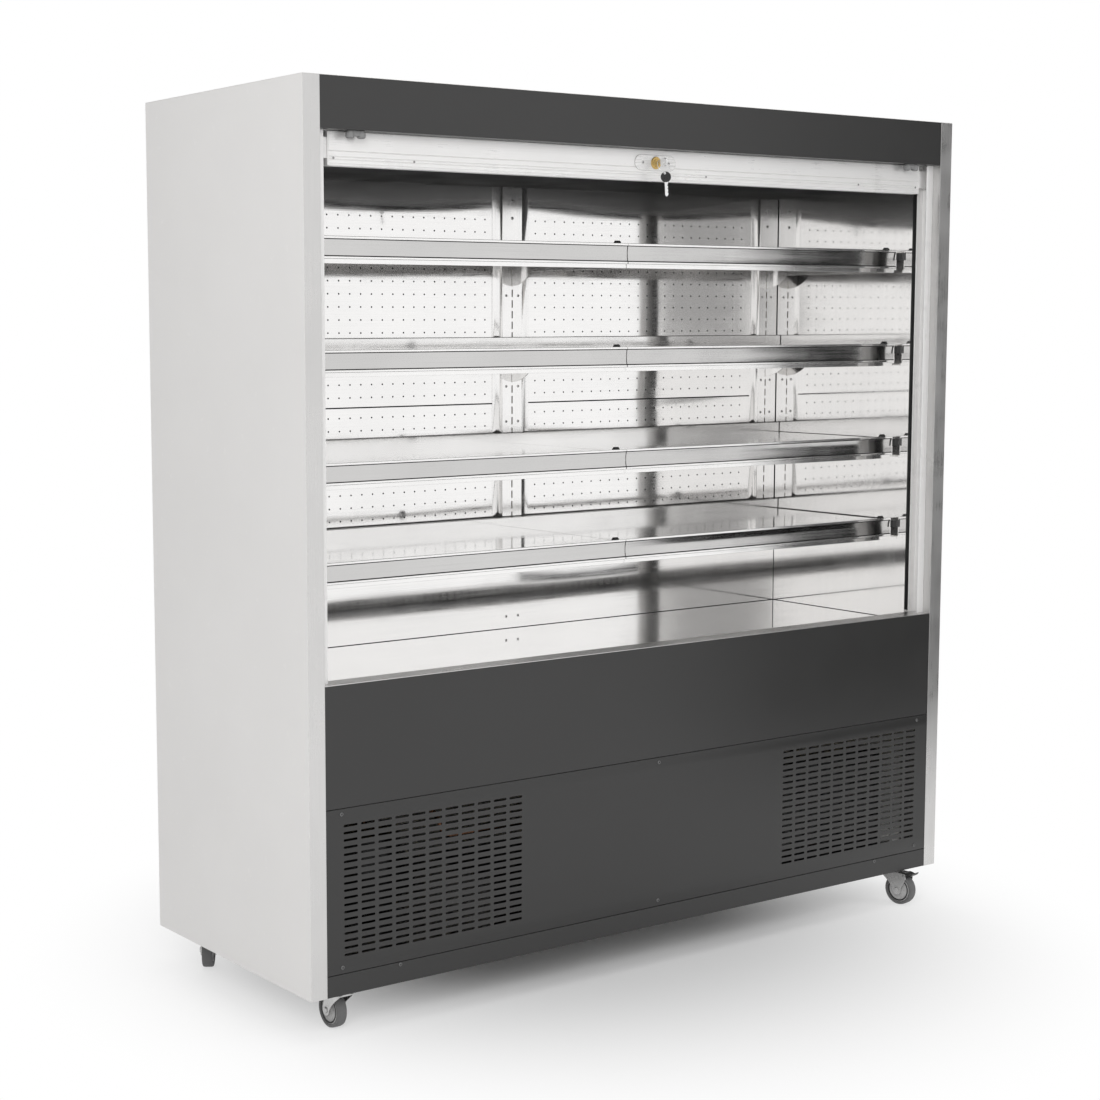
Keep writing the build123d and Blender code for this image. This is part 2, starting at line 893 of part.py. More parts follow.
# Ticket strips: a shallow channel hooked over the front edge of each tray
strip_face = tray_front - strip_stand_off
with BuildPart() as ticket_strips:
    for shelf_top in shelf_tops:
        for low in (-shelf_end, shelf_split / 2):
            folded(
                Plane.YZ.offset(low),
                [
                    (tray_front, shelf_top + strip_lip),
                    (strip_face, shelf_top + strip_lip),
                    (strip_face, shelf_top),
                    (strip_face + strip_sheet, shelf_top),
                    (strip_face + strip_sheet, shelf_top - strip_height),
                    (tray_front, shelf_top - strip_height),
                ],
                strip_sheet,
                Side.LEFT,
                shelf_end - shelf_split / 2,
            )
ticket_strips.part.label = "ticket_strips"
export_step(ticket_strips.part, "parts/ticket_strips.step")

# Shelf brackets: flat arms that hook into the slots of the uprights
arm_front = tray_front + shelf_sheet
arm_rear = upright_front - seat
with BuildPart() as shelf_brackets:
    for shelf_top in shelf_tops:
        arm_top = shelf_top - shelf_sheet
        rear_top = arm_top - shelf_rear_flange
        for arm_x in (-corner_slot_x, 0, corner_slot_x):
            with BuildSketch(Plane.YZ.offset(arm_x - bracket_sheet / 2)):
                with BuildLine():
                    Polyline(
                        (arm_rear - bracket_bulge, shelf_top - shelf_flange),
                        (arm_front, shelf_top - shelf_flange),
                        (arm_front, arm_top),
                        (tray_rear - shelf_sheet, arm_top),
                        (tray_rear - shelf_sheet, rear_top),
                        (arm_rear, rear_top),
                        (arm_rear, shelf_top - bracket_drop),
                    )
                    TangentArc(
                        (arm_rear, shelf_top - bracket_drop),
                        (arm_rear - bracket_bulge, shelf_top - shelf_flange),
                        tangent=(-1, 0),
                    )
                make_face()
            extrude(amount=bracket_sheet)
            for hook_z in (shelf_top - hook_drop, shelf_top - hook_drop - slot_pitch):
                block(
                    (arm_x - bracket_sheet / 2, arm_x + bracket_sheet / 2),
                    (arm_rear - liner, arm_rear + hook_length),
                    (hook_z - slot_height / 2 + seat, hook_z - slot_height / 2 + seat + hook_height),
                )
shelf_brackets.part.label = "shelf_brackets"
export_step(shelf_brackets.part, "parts/shelf_brackets.step")

# ---------------------------------------------------------------- shutter guides, seals and stops
guide_rear = front + guide_front + guide_depth
with BuildPart() as shutter_guides:
    for side in (-1, 1):
        folded(
            level(sill_top),
            [
                (side * (half_inner - guide_reach), front + guide_front),
                (side * half_inner, front + guide_front),
                (side * half_inner, guide_rear),
                (side * (half_inner - guide_reach), guide_rear),
            ],
            guide_wall,
            Side.LEFT if side > 0 else Side.RIGHT,
            canopy_bottom - sill_top,
        )
shutter_guides.part.label = "shutter_guides"
export_step(shutter_guides.part, "parts/shutter_guides.step")

# Black seal strips on the inner faces, behind the guides
with BuildPart() as side_seals:
    for low, high in mirrored_spans(half_inner - seal_proud, half_inner):
        block(
            (low, high),
            (front + seal_front, front + seal_front + seal_width),
            (sill_top, ceiling),
        )
side_seals.part.label = "side_seals"
export_step(side_seals.part, "parts/side_seals.step")

# Rubber buffers under the canopy, which the open shutter comes up to
stop_y = front + guide_front - stop_radius
with BuildPart() as shutter_stops:
    for side in (-1, 1):
        stop_x = side * (half_inner - stop_inset)
        with BuildSketch(level(canopy_bottom - stop_height)) as buffer:
            with Locations((stop_x, stop_y)):
                Rectangle(stop_length, 2 * (stop_radius - seat))
            chamfer(buffer.vertices(), stop_radius / 2)
        extrude(amount=stop_height)
        block(
            (stop_x - stop_foot / 2, stop_x + stop_foot / 2),
            (stop_y - stop_radius / 2, front + guide_front - panel_sheet),
            (canopy_bottom - stop_height / 2, canopy_bottom),
        )
shutter_stops.part.label = "shutter_stops"
export_step(shutter_stops.part, "parts/shutter_stops.step")

# ---------------------------------------------------------------- roller shutter
lip_top = rail_bottom + rail_lip
rail_back = rail_front + rail_depth
with BuildPart() as shutter_rail:
    # hollow bottom rail with a proud lower lip and a grooved top edge
    profile(
        across(rail_half),
        [
            (rail_front, rail_bottom),
            (rail_back, rail_bottom),
            (rail_back, rail_top),
            (rail_front + rail_wall, rail_top),
            (rail_front + rail_wall, rail_top - rail_wall),
            (rail_front, rail_top - 2 * rail_wall),
            (rail_front, lip_top + rail_wall),
            (rail_front + rail_wall, lip_top + rail_wall),
            (rail_front + rail_wall, lip_top),
            (rail_front, lip_top),
        ],
        2 * rail_half,
    )
    for low, high in ((rail_bottom, lip_top), (lip_top + rail_wall, rail_top - 2 * rail_wall)):
        block(
            (-rail_half, rail_half),
            (rail_front + 2 * rail_wall, rail_back - rail_wall),
            (low + rail_wall, high - rail_wall),
            mode=Mode.SUBTRACT,
        )
    # end shoes that run in the guides
    for low, high in mirrored_spans(rail_half, slat_half):
        block(
            (low, high),
            (front + shutter_plane - shoe_thickness / 2, front + shutter_plane + shoe_thickness / 2),
            (lip_top, lip_top + shoe_height),
        )
    # opening for the lock barrel, and the bolt's way down
    with BuildSketch(facing_front(rail_back - rail_wall)):
        with Locations((0, lock_z)):
            Circle(barrel_radius + seat)
    extrude(amount=rail_depth, mode=Mode.SUBTRACT)
    bolt_hole = bolt_side / 2 + seat
    block(
        (-bolt_hole, bolt_hole),
        (rail_middle_y - bolt_hole, rail_middle_y + bolt_hole),
        (rail_bottom, lock_z),
        mode=Mode.SUBTRACT,
    )
shutter_rail.part.label = "shutter_rail"
export_step(shutter_rail.part, "parts/shutter_rail.step")

# The slats that hang between the roller and the rail when the shutter is up
with BuildPart() as shutter_curtain:
    slat_front = front + shutter_plane - slat_thickness / 2
    slat_back = front + shutter_plane + slat_thickness / 2
    slat_height = curtain_top - rail_top
    profile(
        across(slat_half),
        [
            (slat_front, rail_top),
            (slat_back, rail_top),
            (slat_back, curtain_top),
            (slat_front, curtain_top),
            (slat_front, rail_top + slat_height / 2 + liner),
            (slat_front + liner, rail_top + slat_height / 2),
            (slat_front, rail_top + slat_height / 2 - liner),
        ],
        2 * slat_half,
    )
shutter_curtain.part.label = "shutter_curtain"
export_step(shutter_curtain.part, "parts/shutter_curtain.step")

# Roller: the wound slats, with an axle stub in each cheek of the housing
coil_half = half_inner - cheek_sheet - coil_end_gap
with BuildPart() as shutter_roller:
    with BuildSketch(across(coil_half)):
        with Locations((coil_y, coil_z)):
            Circle(coil_radius)
    extrude(amount=2 * coil_half)
    with BuildSketch(across(half_inner - seat)):
        with Locations((coil_y, coil_z)):
            RegularPolygon(axle_radius, few_sides)
    extrude(amount=2 * (half_inner - seat))
shutter_roller.part.label = "shutter_roller"
export_step(shutter_roller.part, "parts/shutter_roller.step")

# ---------------------------------------------------------------- lock and keys
with BuildPart() as lock_plate:
    with BuildSketch(facing_front(rail_front)):
        with Locations((0, lock_z)):
            SlotOverall(plate_length, plate_width)
            RegularPolygon(barrel_radius + seat, few_sides, major_radius=False, mode=Mode.SUBTRACT)
    extrude(amount=plate_thickness)
lock_plate.part.label = "lock_plate"
export_step(lock_plate.part, "parts/lock_plate.step")

barrel_back = rail_middle_y - bolt_side / 2 - seat
with BuildPart() as lock_barrel:
    with BuildSketch(facing_front(barrel_back)):
        with Locations((0, lock_z)):
            RegularPolygon(barrel_radius, few_sides)
            RegularPolygon(plug_radius + run, few_sides, major_radius=False, mode=Mode.SUBTRACT)
    extrude(amount=barrel_back - barrel_face)
lock_barrel.part.label = "lock_barrel"
export_step(lock_barrel.part, "parts/lock_barrel.step")

# Plug with the key left in it: shank and round bow in one upright plane
bow_y = barrel_face - bow_reach
with BuildPart() as lock_key:
    with BuildSketch(facing_front(barrel_back)):
        with Locations((0, lock_z)):
            RegularPolygon(plug_radius, few_sides)
    extrude(amount=barrel_back - barrel_face)
    with BuildSketch(Plane.YZ.offset(-bow_sheet / 2)):
        with Locations((bow_y, lock_z)):
            RegularPolygon(bow_radius, few_sides)
        with Locations(((bow_y + barrel_face) / 2, lock_z)):
            Rectangle(bow_reach, key_shank)
        with Locations((bow_y, lock_z)):
            RegularPolygon(bow_hole, screw_sides, mode=Mode.SUBTRACT)
    extrude(amount=bow_sheet)
lock_key.part.label = "lock_key"
export_step(lock_key.part, "parts/lock_key.step")

# Bolt that the plug drives down into the slot of the sill
with BuildPart() as lock_bolt:
    bolt_bottom = rail_bottom + rail_wall
    block(
        (-bolt_side / 2, bolt_side / 2),
        (rail_middle_y - bolt_side / 2, rail_middle_y + bolt_side / 2),
        (bolt_bottom, bolt_bottom + bolt_length),
    )
lock_bolt.part.label = "lock_bolt"
export_step(lock_bolt.part, "parts/lock_bolt.step")

# Spare key on a flat ring, which hangs on the neck of the first key and leans over its bow
lean = radians(ring_lean)
neck_reach = sqrt(key_shank ** 2 + bow_sheet ** 2) / 2
ring_y = bow_y + bow_radius + ring_wire + liner
ring_top_z = lock_z + neck_reach + seat + ring_wire * (cos(lean) + sin(lean))
ring_middle = (0, ring_y - ring_radius * sin(lean), ring_top_z - ring_radius * cos(lean))
ring_plane = Plane(ring_middle, x_dir=(1, 0, 0), z_dir=(0, -cos(lean), sin(lean)))
spare_y = ring_y - 2 * ring_radius * sin(lean)
spare_z = ring_top_z - 2 * ring_radius * cos(lean) - spare_hole_drop
with BuildPart() as spare_key:
    with BuildSketch(ring_plane.offset(-ring_wire)):
        RegularPolygon(ring_radius + ring_wire, few_sides)
        RegularPolygon(ring_radius - ring_wire, few_sides, mode=Mode.SUBTRACT)
    extrude(amount=2 * ring_wire)
    with BuildSketch(facing_front(spare_y + spare_bow_sheet / 2)):
        with Locations((0, spare_z)):
            RegularPolygon(spare_bow, few_sides)
    extrude(amount=spare_bow_sheet)
    with BuildSketch(facing_front(spare_y + spare_bow_sheet / 4)):
        with Locations((0, spare_z - spare_bow - spare_blade / 2 + liner)):
            Rectangle(key_shank - liner, spare_blade)
    extrude(amount=spare_bow_sheet / 2)
spare_key.part.label = "spare_key"
export_step(spare_key.part, "parts/spare_key.step")

# ---------------------------------------------------------------- screws
# Screws of the service panel and the kick plate
panel_screw_x = half_inner - panel_screw_inset
kick_screw_x = half_inner - kick_screw_inset
with BuildPart() as cabinet_screws:
    with BuildSketch(facing_front(panel_face)):
        for screw_z in (service_top - panel_screw_below, service_bottom + panel_screw_above):
            with Locations((-panel_screw_x, screw_z), (0, screw_z), (panel_screw_x, screw_z)):
                RegularPolygon(screw_head, screw_sides)
        for screw_x in (-kick_screw_x, kick_screw_x):
            with Locations((screw_x, kick_top - kick_screw_below)):
                RegularPolygon(screw_head, screw_sides)
    extrude(amount=screw_proud)
cabinet_screws.part.label = "cabinet_screws"
export_step(cabinet_screws.part, "parts/cabinet_screws.step")


# ---------------------------------------------------------------- casters
corners = {
    "front_left": (-swivel_x, front + caster_setback),
    "front_right": (swivel_x, front + caster_setback),
    "rear_left": (-swivel_x, back - caster_setback),
    "rear_right": (swivel_x, back - caster_setback),
}

with BuildPart() as caster_plates:
    for corner_x, corner_y in corners.values():
        block(
            (corner_x - mount_plate_x / 2, corner_x + mount_plate_x / 2),
            (corner_y - mount_plate_y / 2, corner_y + mount_plate_y / 2),
            (underside - mount_plate, underside),
        )
        # king pin, down through the fork's race and crown
        with BuildSketch(level(crown_z - fork_sheet - seat)):
            with Locations((corner_x, corner_y)):
                Circle(king_pin)
        extrude(amount=underside - mount_plate - crown_z + fork_sheet + seat)
caster_plates.part.label = "caster_plates"
export_step(caster_plates.part, "parts/caster_plates.step")


def turned(corner, angle):
    """Frame of one caster: its origin on the swivel axis at floor level, -Y along the trail."""
    return Plane((corner[0], corner[1], 0)).rotated((0, 0, angle))


def caster_fork(corner, angle, with_pedal):
    """Swivel race, crown, two cheeks and the wheel's axle."""
    home = turned(corner, angle)
    with BuildPart() as fork:
        with BuildSketch(home.offset(crown_z)):
            RegularPolygon(race_radius, few_sides)
        extrude(amount=race_height)
        with BuildSketch(home.offset(crown_z - fork_sheet)):
            Rectangle(2 * (fork_half + fork_sheet), 2 * fork_heel)
        extrude(amount=fork_sheet)
        pin_y = -pedal_pivot_reach
        nose_y = pin_y - 2 * pedal_pin if with_pedal else -fork_heel - axle_boss / 2
        axle_plane = Plane(home.origin, x_dir=home.y_dir, z_dir=home.x_dir)
        axle_end = fork_half + fork_sheet
        for low in (-axle_end, fork_half):
            profile(
                axle_plane.offset(low),
                [
                    (fork_heel, crown_z),
                    (nose_y, crown_z),
                    (nose_y, crown_z - 4 * pedal_pin),
                    (-caster_trail - axle_boss, axle_z),
                    (-caster_trail - axle_boss / 2, axle_z - axle_boss),
                    (-caster_trail + axle_boss / 2, axle_z - axle_boss),
                    (-caster_trail + axle_boss, axle_z),
                ],
                fork_sheet,
            )
        with BuildSketch(axle_plane.offset(-axle_end)):
            with Locations((-caster_trail, axle_z)):
                RegularPolygon(wheel_axle, few_sides)
        extrude(amount=2 * axle_end)
        for low in (-axle_end - fork_sheet, axle_end):
            with BuildSketch(axle_plane.offset(low)):
                with Locations((-caster_trail, axle_z)):
                    RegularPolygon(axle_nut, 6)
            extrude(amount=fork_sheet)
        if with_pedal:
            with BuildSketch(axle_plane.offset(-axle_end)):
                with Locations((pin_y, underside - pedal_pivot_drop)):
                    Circle(pedal_pin)
            extrude(amount=2 * axle_end)
        with BuildSketch(home.offset(crown_z - fork_sheet)):
            RegularPolygon(king_pin + run, few_sides, major_radius=False)
        extrude(amount=race_height + fork_sheet, mode=Mode.SUBTRACT)
    return fork


def caster_wheel(corner, angle):
    """Tyre and hub of one wheel, bored for its axle."""
    home = turned(corner, angle)
    centre = home.from_local_coords(Vector(0, -caster_trail, axle_z))
    spin = Plane(centre, x_dir=home.z_dir, z_dir=home.x_dir)
    with BuildPart() as wheel:
        with BuildSketch(spin.offset(-wheel_width / 2)):
            RegularPolygon(wheel_radius, few_sides)
        extrude(amount=wheel_width)
        chamfer(wheel.edges().filter_by(Axis(centre, home.x_dir), reverse=True), tread_chamfer)
        with BuildSketch(spin.offset(-wheel_width)):
            Circle(wheel_axle + run)
        extrude(amount=2 * wheel_width, mode=Mode.SUBTRACT)
    return wheel


for corner_name, corner in corners.items():
    fork = caster_fork(corner, swivel_angles[corner_name], corner_name == "front_right")
    fork.part.label = f"caster_fork_{corner_name}"
    export_step(fork.part, f"parts/caster_fork_{corner_name}.step")
    wheel = caster_wheel(corner, swivel_angles[corner_name])
    wheel.part.label = f"caster_wheel_{corner_name}"
    export_step(wheel.part, f"parts/caster_wheel_{corner_name}.step")

# Brake pedal of the front right caster, on its pin between the cheeks
pedal_home = turned(corners["front_right"], swivel_angles["front_right"])
pedal_side = Plane(pedal_home.origin, x_dir=pedal_home.y_dir, z_dir=pedal_home.x_dir)
pivot_y = -pedal_pivot_reach
pivot_z = underside - pedal_pivot_drop
pedal_half = fork_half - seat
with BuildPart() as brake_pedal:
    with BuildSketch(pedal_side.offset(-pedal_half)):
        with BuildLine():
            Polyline(
                (pivot_y + pedal_heel, pivot_z + pedal_pin),
                (pivot_y, pivot_z + 2 * pedal_pin),
                (pivot_y - pedal_waist, pivot_z + 2 * pedal_pin - liner),
                (pivot_y - 2 * pedal_waist, pivot_z + pedal_pin),
                (-pedal_reach, pivot_z + pedal_waist),
                (-pedal_reach + pedal_heel, pivot_z),
                (pivot_y - pedal_waist - pedal_pin, pivot_z - pedal_pin - liner),
                (pivot_y - pedal_waist, pivot_z - pedal_heel + liner),
                (pivot_y, pivot_z - pedal_pin - liner),
                (pivot_y + pedal_heel - liner, pivot_z - liner),
                close=True,
            )
        make_face()
        with Locations((pivot_y, pivot_z)):
            RegularPolygon(pedal_pin + run, few_sides, major_radius=False, mode=Mode.SUBTRACT)
    extrude(amount=2 * pedal_half)
brake_pedal.part.label = "brake_pedal"
export_step(brake_pedal.part, "parts/brake_pedal.step")

# ---------------------------------------------------------------- cooling unit
floor_z = pan_z + base_sheet
with BuildPart() as compressor:
    # welded shell: a straight wall between a drawn bowl and a domed cap
    with BuildSketch(level(floor_z)):
        with Locations((compressor_x, front + compressor_y)):
            RegularPolygon(compressor_radius, few_sides)
    extrude(amount=compressor_height)
    chamfer(compressor.edges().filter_by(Axis.Z, reverse=True), 2 * compressor_foot)
    block(
        (compressor_x - compressor_radius, compressor_x + compressor_radius),
        (front + compressor_y - compressor_radius, front + compressor_y + compressor_radius),
        (floor_z, floor_z + compressor_foot / 4),
    )
compressor.part.label = "compressor"
export_step(compressor.part, "parts/compressor.step")


def fin_block(x_span, y_span, z_span, fins):
    """Upright fins on both sides of one plate along their middle."""
    width = x_span[1] - x_span[0]
    depth = y_span[1] - y_span[0]
    with BuildSketch(level(z_span[0])) as comb:
        with Locations(((x_span[0] + x_span[1]) / 2, (y_span[0] + y_span[1]) / 2)):
            Rectangle(width, 2 * fin_sheet)
            with GridLocations((width - fin_sheet) / (fins - 1), depth, fins, 1):
                Rectangle(fin_sheet, depth)
    extrude(comb.sketch, amount=z_span[1] - z_span[0])


def fan_rotor(middle, outer, hub, length):
    """Hub bored for its axle, with flat pitched blades; the axis runs along Y."""
    face = Plane(middle, x_dir=(1, 0, 0), z_dir=(0, -1, 0))
    blade_turn = radians(blade_pitch)
    with BuildPart() as rotor:
        with BuildSketch(face.offset(-length / 2)):
            RegularPolygon(hub, few_sides)
        extrude(amount=length)
        for number in range(fan_blades):
            angle = 2 * pi / fan_blades * number
            reach = face.x_dir * cos(angle) + face.y_dir * sin(angle)
            turn = face.y_dir * cos(angle) - face.x_dir * sin(angle)
            pitch_dir = turn * cos(blade_turn) + face.z_dir * sin(blade_turn)
            blade = Plane(face.origin, x_dir=reach, z_dir=reach.cross(pitch_dir))
            half_chord = (length - blade_margin) / sin(blade_turn) / 2
            root = hub - 2 * fin_sheet
            profile(
                blade.offset(-fin_sheet / 2),
                [
                    (root, blade_waist / 2 - half_chord),
                    (outer, -half_chord),
                    (outer, half_chord),
                    (root, half_chord - blade_waist / 2),
                ],
                fin_sheet,
            )
        with BuildSketch(face.offset(-length)):
            Circle(fan_axle + run)
        extrude(amount=2 * length, mode=Mode.SUBTRACT)
    return rotor


condenser_low = condenser_x - condenser_width / 2
condenser_high = condenser_x + condenser_width / 2
condenser_back = front + condenser_front + condenser_depth
with BuildPart() as condenser:
    fin_block(
        (condenser_low, condenser_high),
        (front + condenser_front, condenser_back),
        (floor_z, floor_z + condenser_height),
        condenser_fins,
    )
condenser.part.label = "condenser"
export_step(condenser.part, "parts/condenser.step")

fan_z = floor_z + condenser_height / 2
shroud_back = condenser_back + shroud_depth
stay_y = shroud_back + fan_hub_length
with BuildPart() as condenser_shroud:
    block(
        (condenser_low, condenser_high),
        (condenser_back, shroud_back),
        (floor_z, floor_z + condenser_height),
    )
    block(
        (condenser_low + shroud_sheet, condenser_high - shroud_sheet),
        (condenser_back, shroud_back - shroud_sheet),
        (floor_z + shroud_sheet, floor_z + condenser_height - shroud_sheet),
        mode=Mode.SUBTRACT,
    )
    with BuildSketch(facing_front(shroud_back)):
        with Locations((condenser_x, fan_z)):
            RegularPolygon(condenser_fan_radius + fan_tip_gap, few_sides, major_radius=False)
    extrude(amount=shroud_sheet, mode=Mode.SUBTRACT)
    # motor stay behind the fan, with the axle that the rotor turns on
    block(
        (condenser_x - fan_stay, condenser_x + fan_stay),
        (stay_y, stay_y + 2 * shroud_sheet),
        (floor_z, floor_z + condenser_height),
    )
    for stay_low in (floor_z, floor_z + condenser_height - shroud_sheet):
        block(
            (condenser_x - fan_stay, condenser_x + fan_stay),
            (shroud_back - shroud_sheet, stay_y + 2 * shroud_sheet),
            (stay_low, stay_low + shroud_sheet),
        )
    with BuildSketch(facing_front(stay_y)):
        with Locations((condenser_x, fan_z)):
            RegularPolygon(fan_axle, few_sides)
    extrude(amount=stay_y - shroud_back + fan_hub_length)
condenser_shroud.part.label = "condenser_shroud"
export_step(condenser_shroud.part, "parts/condenser_shroud.step")

condenser_fan = fan_rotor((condenser_x, shroud_back, fan_z), condenser_fan_radius, fan_hub, fan_hub_length)
condenser_fan.part.label = "condenser_fan"
export_step(condenser_fan.part, "parts/condenser_fan.step")

# Fan plate under the deck, with two round openings and a stay behind each
plate_y = front + fan_plate_y
evaporator_fan_z = (tub_floor + deck_top - shelf_sheet) / 2
stay_back = plate_y + evaporator_fan_hub_length + 2 * base_lip
with BuildPart() as fan_plate:
    folded(
        across(half_inner),
        [
            (stay_back, tub_floor),
            (plate_y, tub_floor),
            (plate_y, deck_top - shelf_sheet),
            (stay_back, deck_top - shelf_sheet),
        ],
        base_sheet,
        Side.RIGHT,
        2 * half_inner,
    )
    with BuildSketch(facing_front(plate_y + base_sheet)):
        with Locations((-evaporator_fan_x, evaporator_fan_z), (evaporator_fan_x, evaporator_fan_z)):
            RegularPolygon(evaporator_fan_radius + fan_tip_gap / 2, few_sides, major_radius=False)
    extrude(amount=base_sheet, mode=Mode.SUBTRACT)
    for stay_x in (-evaporator_fan_x, evaporator_fan_x):
        block(
            (stay_x - fan_stay / 2, stay_x + fan_stay / 2),
            (stay_back - 2 * base_sheet, stay_back),
            (tub_floor, deck_top - shelf_sheet),
        )
        with BuildSketch(facing_front(stay_back - base_sheet)):
            with Locations((stay_x, evaporator_fan_z)):
                RegularPolygon(fan_axle, few_sides)
        extrude(amount=stay_back - plate_y + evaporator_fan_hub_length / 2)
fan_plate.part.label = "fan_plate"
export_step(fan_plate.part, "parts/fan_plate.step")

for side_name, fan_x in (("left", -evaporator_fan_x), ("right", evaporator_fan_x)):
    rotor = fan_rotor(
        (fan_x, plate_y, evaporator_fan_z),
        evaporator_fan_radius,
        evaporator_fan_hub,
        evaporator_fan_hub_length,
    )
    rotor.part.label = f"evaporator_fan_{side_name}"
    export_step(rotor.part, f"parts/evaporator_fan_{side_name}.step")

with BuildPart() as evaporator:
    fin_block(
        (-evaporator_half, evaporator_half),
        (front + evaporator_front, front + evaporator_front + evaporator_depth),
        (tub_floor, tub_floor + evaporator_height),
        evaporator_fins,
    )
evaporator.part.label = "evaporator"
export_step(evaporator.part, "parts/evaporator.step")

# Copper lines: hot gas to the condenser, and suction back from the evaporator
head_z = floor_z + compressor_height
stub_x = compressor_x + compressor_radius / 3
line_y = front + compressor_y
condenser_inlet_z = floor_z + condenser_height - pipe_bend
with BuildPart() as copper_lines:
    with BuildLine() as hot_gas:
        FilletPolyline(
            (stub_x, line_y, head_z),
            (stub_x, line_y, head_z + 2 * pipe_bend),
            (stub_x, front + condenser_front + condenser_depth / 2, head_z + 2 * pipe_bend),
            (stub_x, front + condenser_front + condenser_depth / 2, condenser_inlet_z),
            (condenser_low, front + condenser_front + condenser_depth / 2, condenser_inlet_z),
            radius=pipe_bend,
        )
    with BuildSketch(level(head_z)):
        with Locations((stub_x, line_y)):
            RegularPolygon(pipe_radius, pipe_sides)
    sweep(path=hot_gas.line)
    with BuildLine() as suction:
        FilletPolyline(
            (compressor_x, line_y, head_z),
            (compressor_x, line_y, head_z + 2 * pipe_bend),
            (compressor_x, suction_y, head_z + 2 * pipe_bend),
            (compressor_x, suction_y, tub_floor + evaporator_height / 2),
            radius=pipe_bend - seat,
        )
    with BuildSketch(level(head_z)):
        with Locations((compressor_x, line_y)):
            RegularPolygon(pipe_radius, pipe_sides)
    sweep(path=suction.line)
copper_lines.part.label = "copper_lines"
export_step(copper_lines.part, "parts/copper_lines.step")

with BuildPart() as drip_tray:
    block(
        (tray_x - tray_length / 2, tray_x + tray_length / 2),
        (front + compressor_y - tray_width / 2, front + compressor_y + tray_width / 2),
        (floor_z, floor_z + tray_height),
    )
    offset(amount=-2 * base_sheet, openings=drip_tray.faces().sort_by(Axis.Z)[-1])
drip_tray.part.label = "drip_tray"
export_step(drip_tray.part, "parts/drip_tray.step")

with BuildPart() as electrical_box:
    block(
        (box_x - box_length / 2, box_x + box_length / 2),
        (front + compressor_y - box_width / 2, front + compressor_y + box_width / 2),
        (floor_z, floor_z + box_height),
    )
    chamfer(electrical_box.edges().filter_by(Axis.Z), 2 * base_sheet)
electrical_box.part.label = "electrical_box"
export_step(electrical_box.part, "parts/electrical_box.step")
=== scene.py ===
import random
from math import cos, pi, radians, sin, sqrt

import bmesh
import bpy
from mathutils import Matrix, Vector


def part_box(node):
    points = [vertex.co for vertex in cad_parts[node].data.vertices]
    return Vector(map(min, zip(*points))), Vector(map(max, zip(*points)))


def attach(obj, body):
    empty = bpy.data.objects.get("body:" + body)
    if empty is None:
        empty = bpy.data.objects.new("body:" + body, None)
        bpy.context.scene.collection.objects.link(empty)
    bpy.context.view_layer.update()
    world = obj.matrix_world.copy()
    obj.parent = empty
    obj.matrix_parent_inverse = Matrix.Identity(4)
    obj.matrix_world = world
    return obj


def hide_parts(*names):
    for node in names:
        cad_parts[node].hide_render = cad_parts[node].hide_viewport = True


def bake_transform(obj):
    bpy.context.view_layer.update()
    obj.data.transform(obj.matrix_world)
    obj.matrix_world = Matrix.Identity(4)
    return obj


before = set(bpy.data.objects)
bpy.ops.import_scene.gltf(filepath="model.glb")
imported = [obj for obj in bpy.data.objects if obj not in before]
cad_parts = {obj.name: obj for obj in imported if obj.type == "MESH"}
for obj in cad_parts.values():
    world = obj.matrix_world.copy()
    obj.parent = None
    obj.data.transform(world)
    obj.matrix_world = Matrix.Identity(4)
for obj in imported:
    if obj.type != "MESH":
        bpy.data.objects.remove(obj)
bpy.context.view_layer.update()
random.seed(7)

# ---------- places, read from the frame, in mm
MM = 0.001
roof_low, roof_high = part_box("roof_panel")
FRONT = roof_low.y
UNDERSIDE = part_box("side_panels")[0].z
HALF = roof_high.x / MM                         # half of the cabinet's width
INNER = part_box("canopy_fascia")[1].x / MM       # inner faces of the side walls
DEPTH = (roof_high.y - roof_low.y) / MM


def span(node):
    """A node's box, in mm back from the front face and up from the cabinet's underside."""
    low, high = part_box(node)
    shift = Vector((0, FRONT, UNDERSIDE))
    return (low - shift) / MM, (high - shift) / MM


CANOPY = span("canopy_fascia")[0].z             # lower edge of the fascia
SILL = span("front_sill")[1].z
DECK = span("deck_tray")[1].z
CEILING = span("ceiling_panel")[0].z
SHELF_TOPS = [span(f"shelf_{number}")[1].z for number in (1, 2, 3, 4)]
tray_low, tray_high = span("shelf_1")
TRAY_FRONT, TRAY_REAR, TRAY_END = tray_low.y, tray_high.y, tray_high.x
UPRIGHT = span("uprights")[0].y                 # front face of the uprights
BACK_REAR = span("back_panels")[1].y
RAIL_LOW, RAIL_HIGH = (corner.z for corner in span("shutter_rail"))
CABINET = Matrix.Translation((0, FRONT, UNDERSIDE))


# ---------- materials
def linear(value):
    """8-bit grey or channel as a linear colour value."""
    share = value / 255
    return share / 12.92 if share <= 0.04045 else ((share + 0.055) / 1.055) ** 2.4


def grey(value, warm=0.0):
    return (linear(value + warm), linear(value), linear(value - warm), 1.0)


def fill(tree, node, inputs):
    """Sets a node's inputs to numbers, colours or other nodes' outputs."""
    for key, value in inputs.items():
        if isinstance(value, bpy.types.NodeSocket):
            tree.links.new(value, node.inputs[key])
        else:
            node.inputs[key].default_value = value
    return node


def add_node(tree, kind, inputs, **settings):
    node = tree.nodes.new("ShaderNode" + kind)
    for name, value in settings.items():
        setattr(node, name, value)
    return fill(tree, node, inputs)


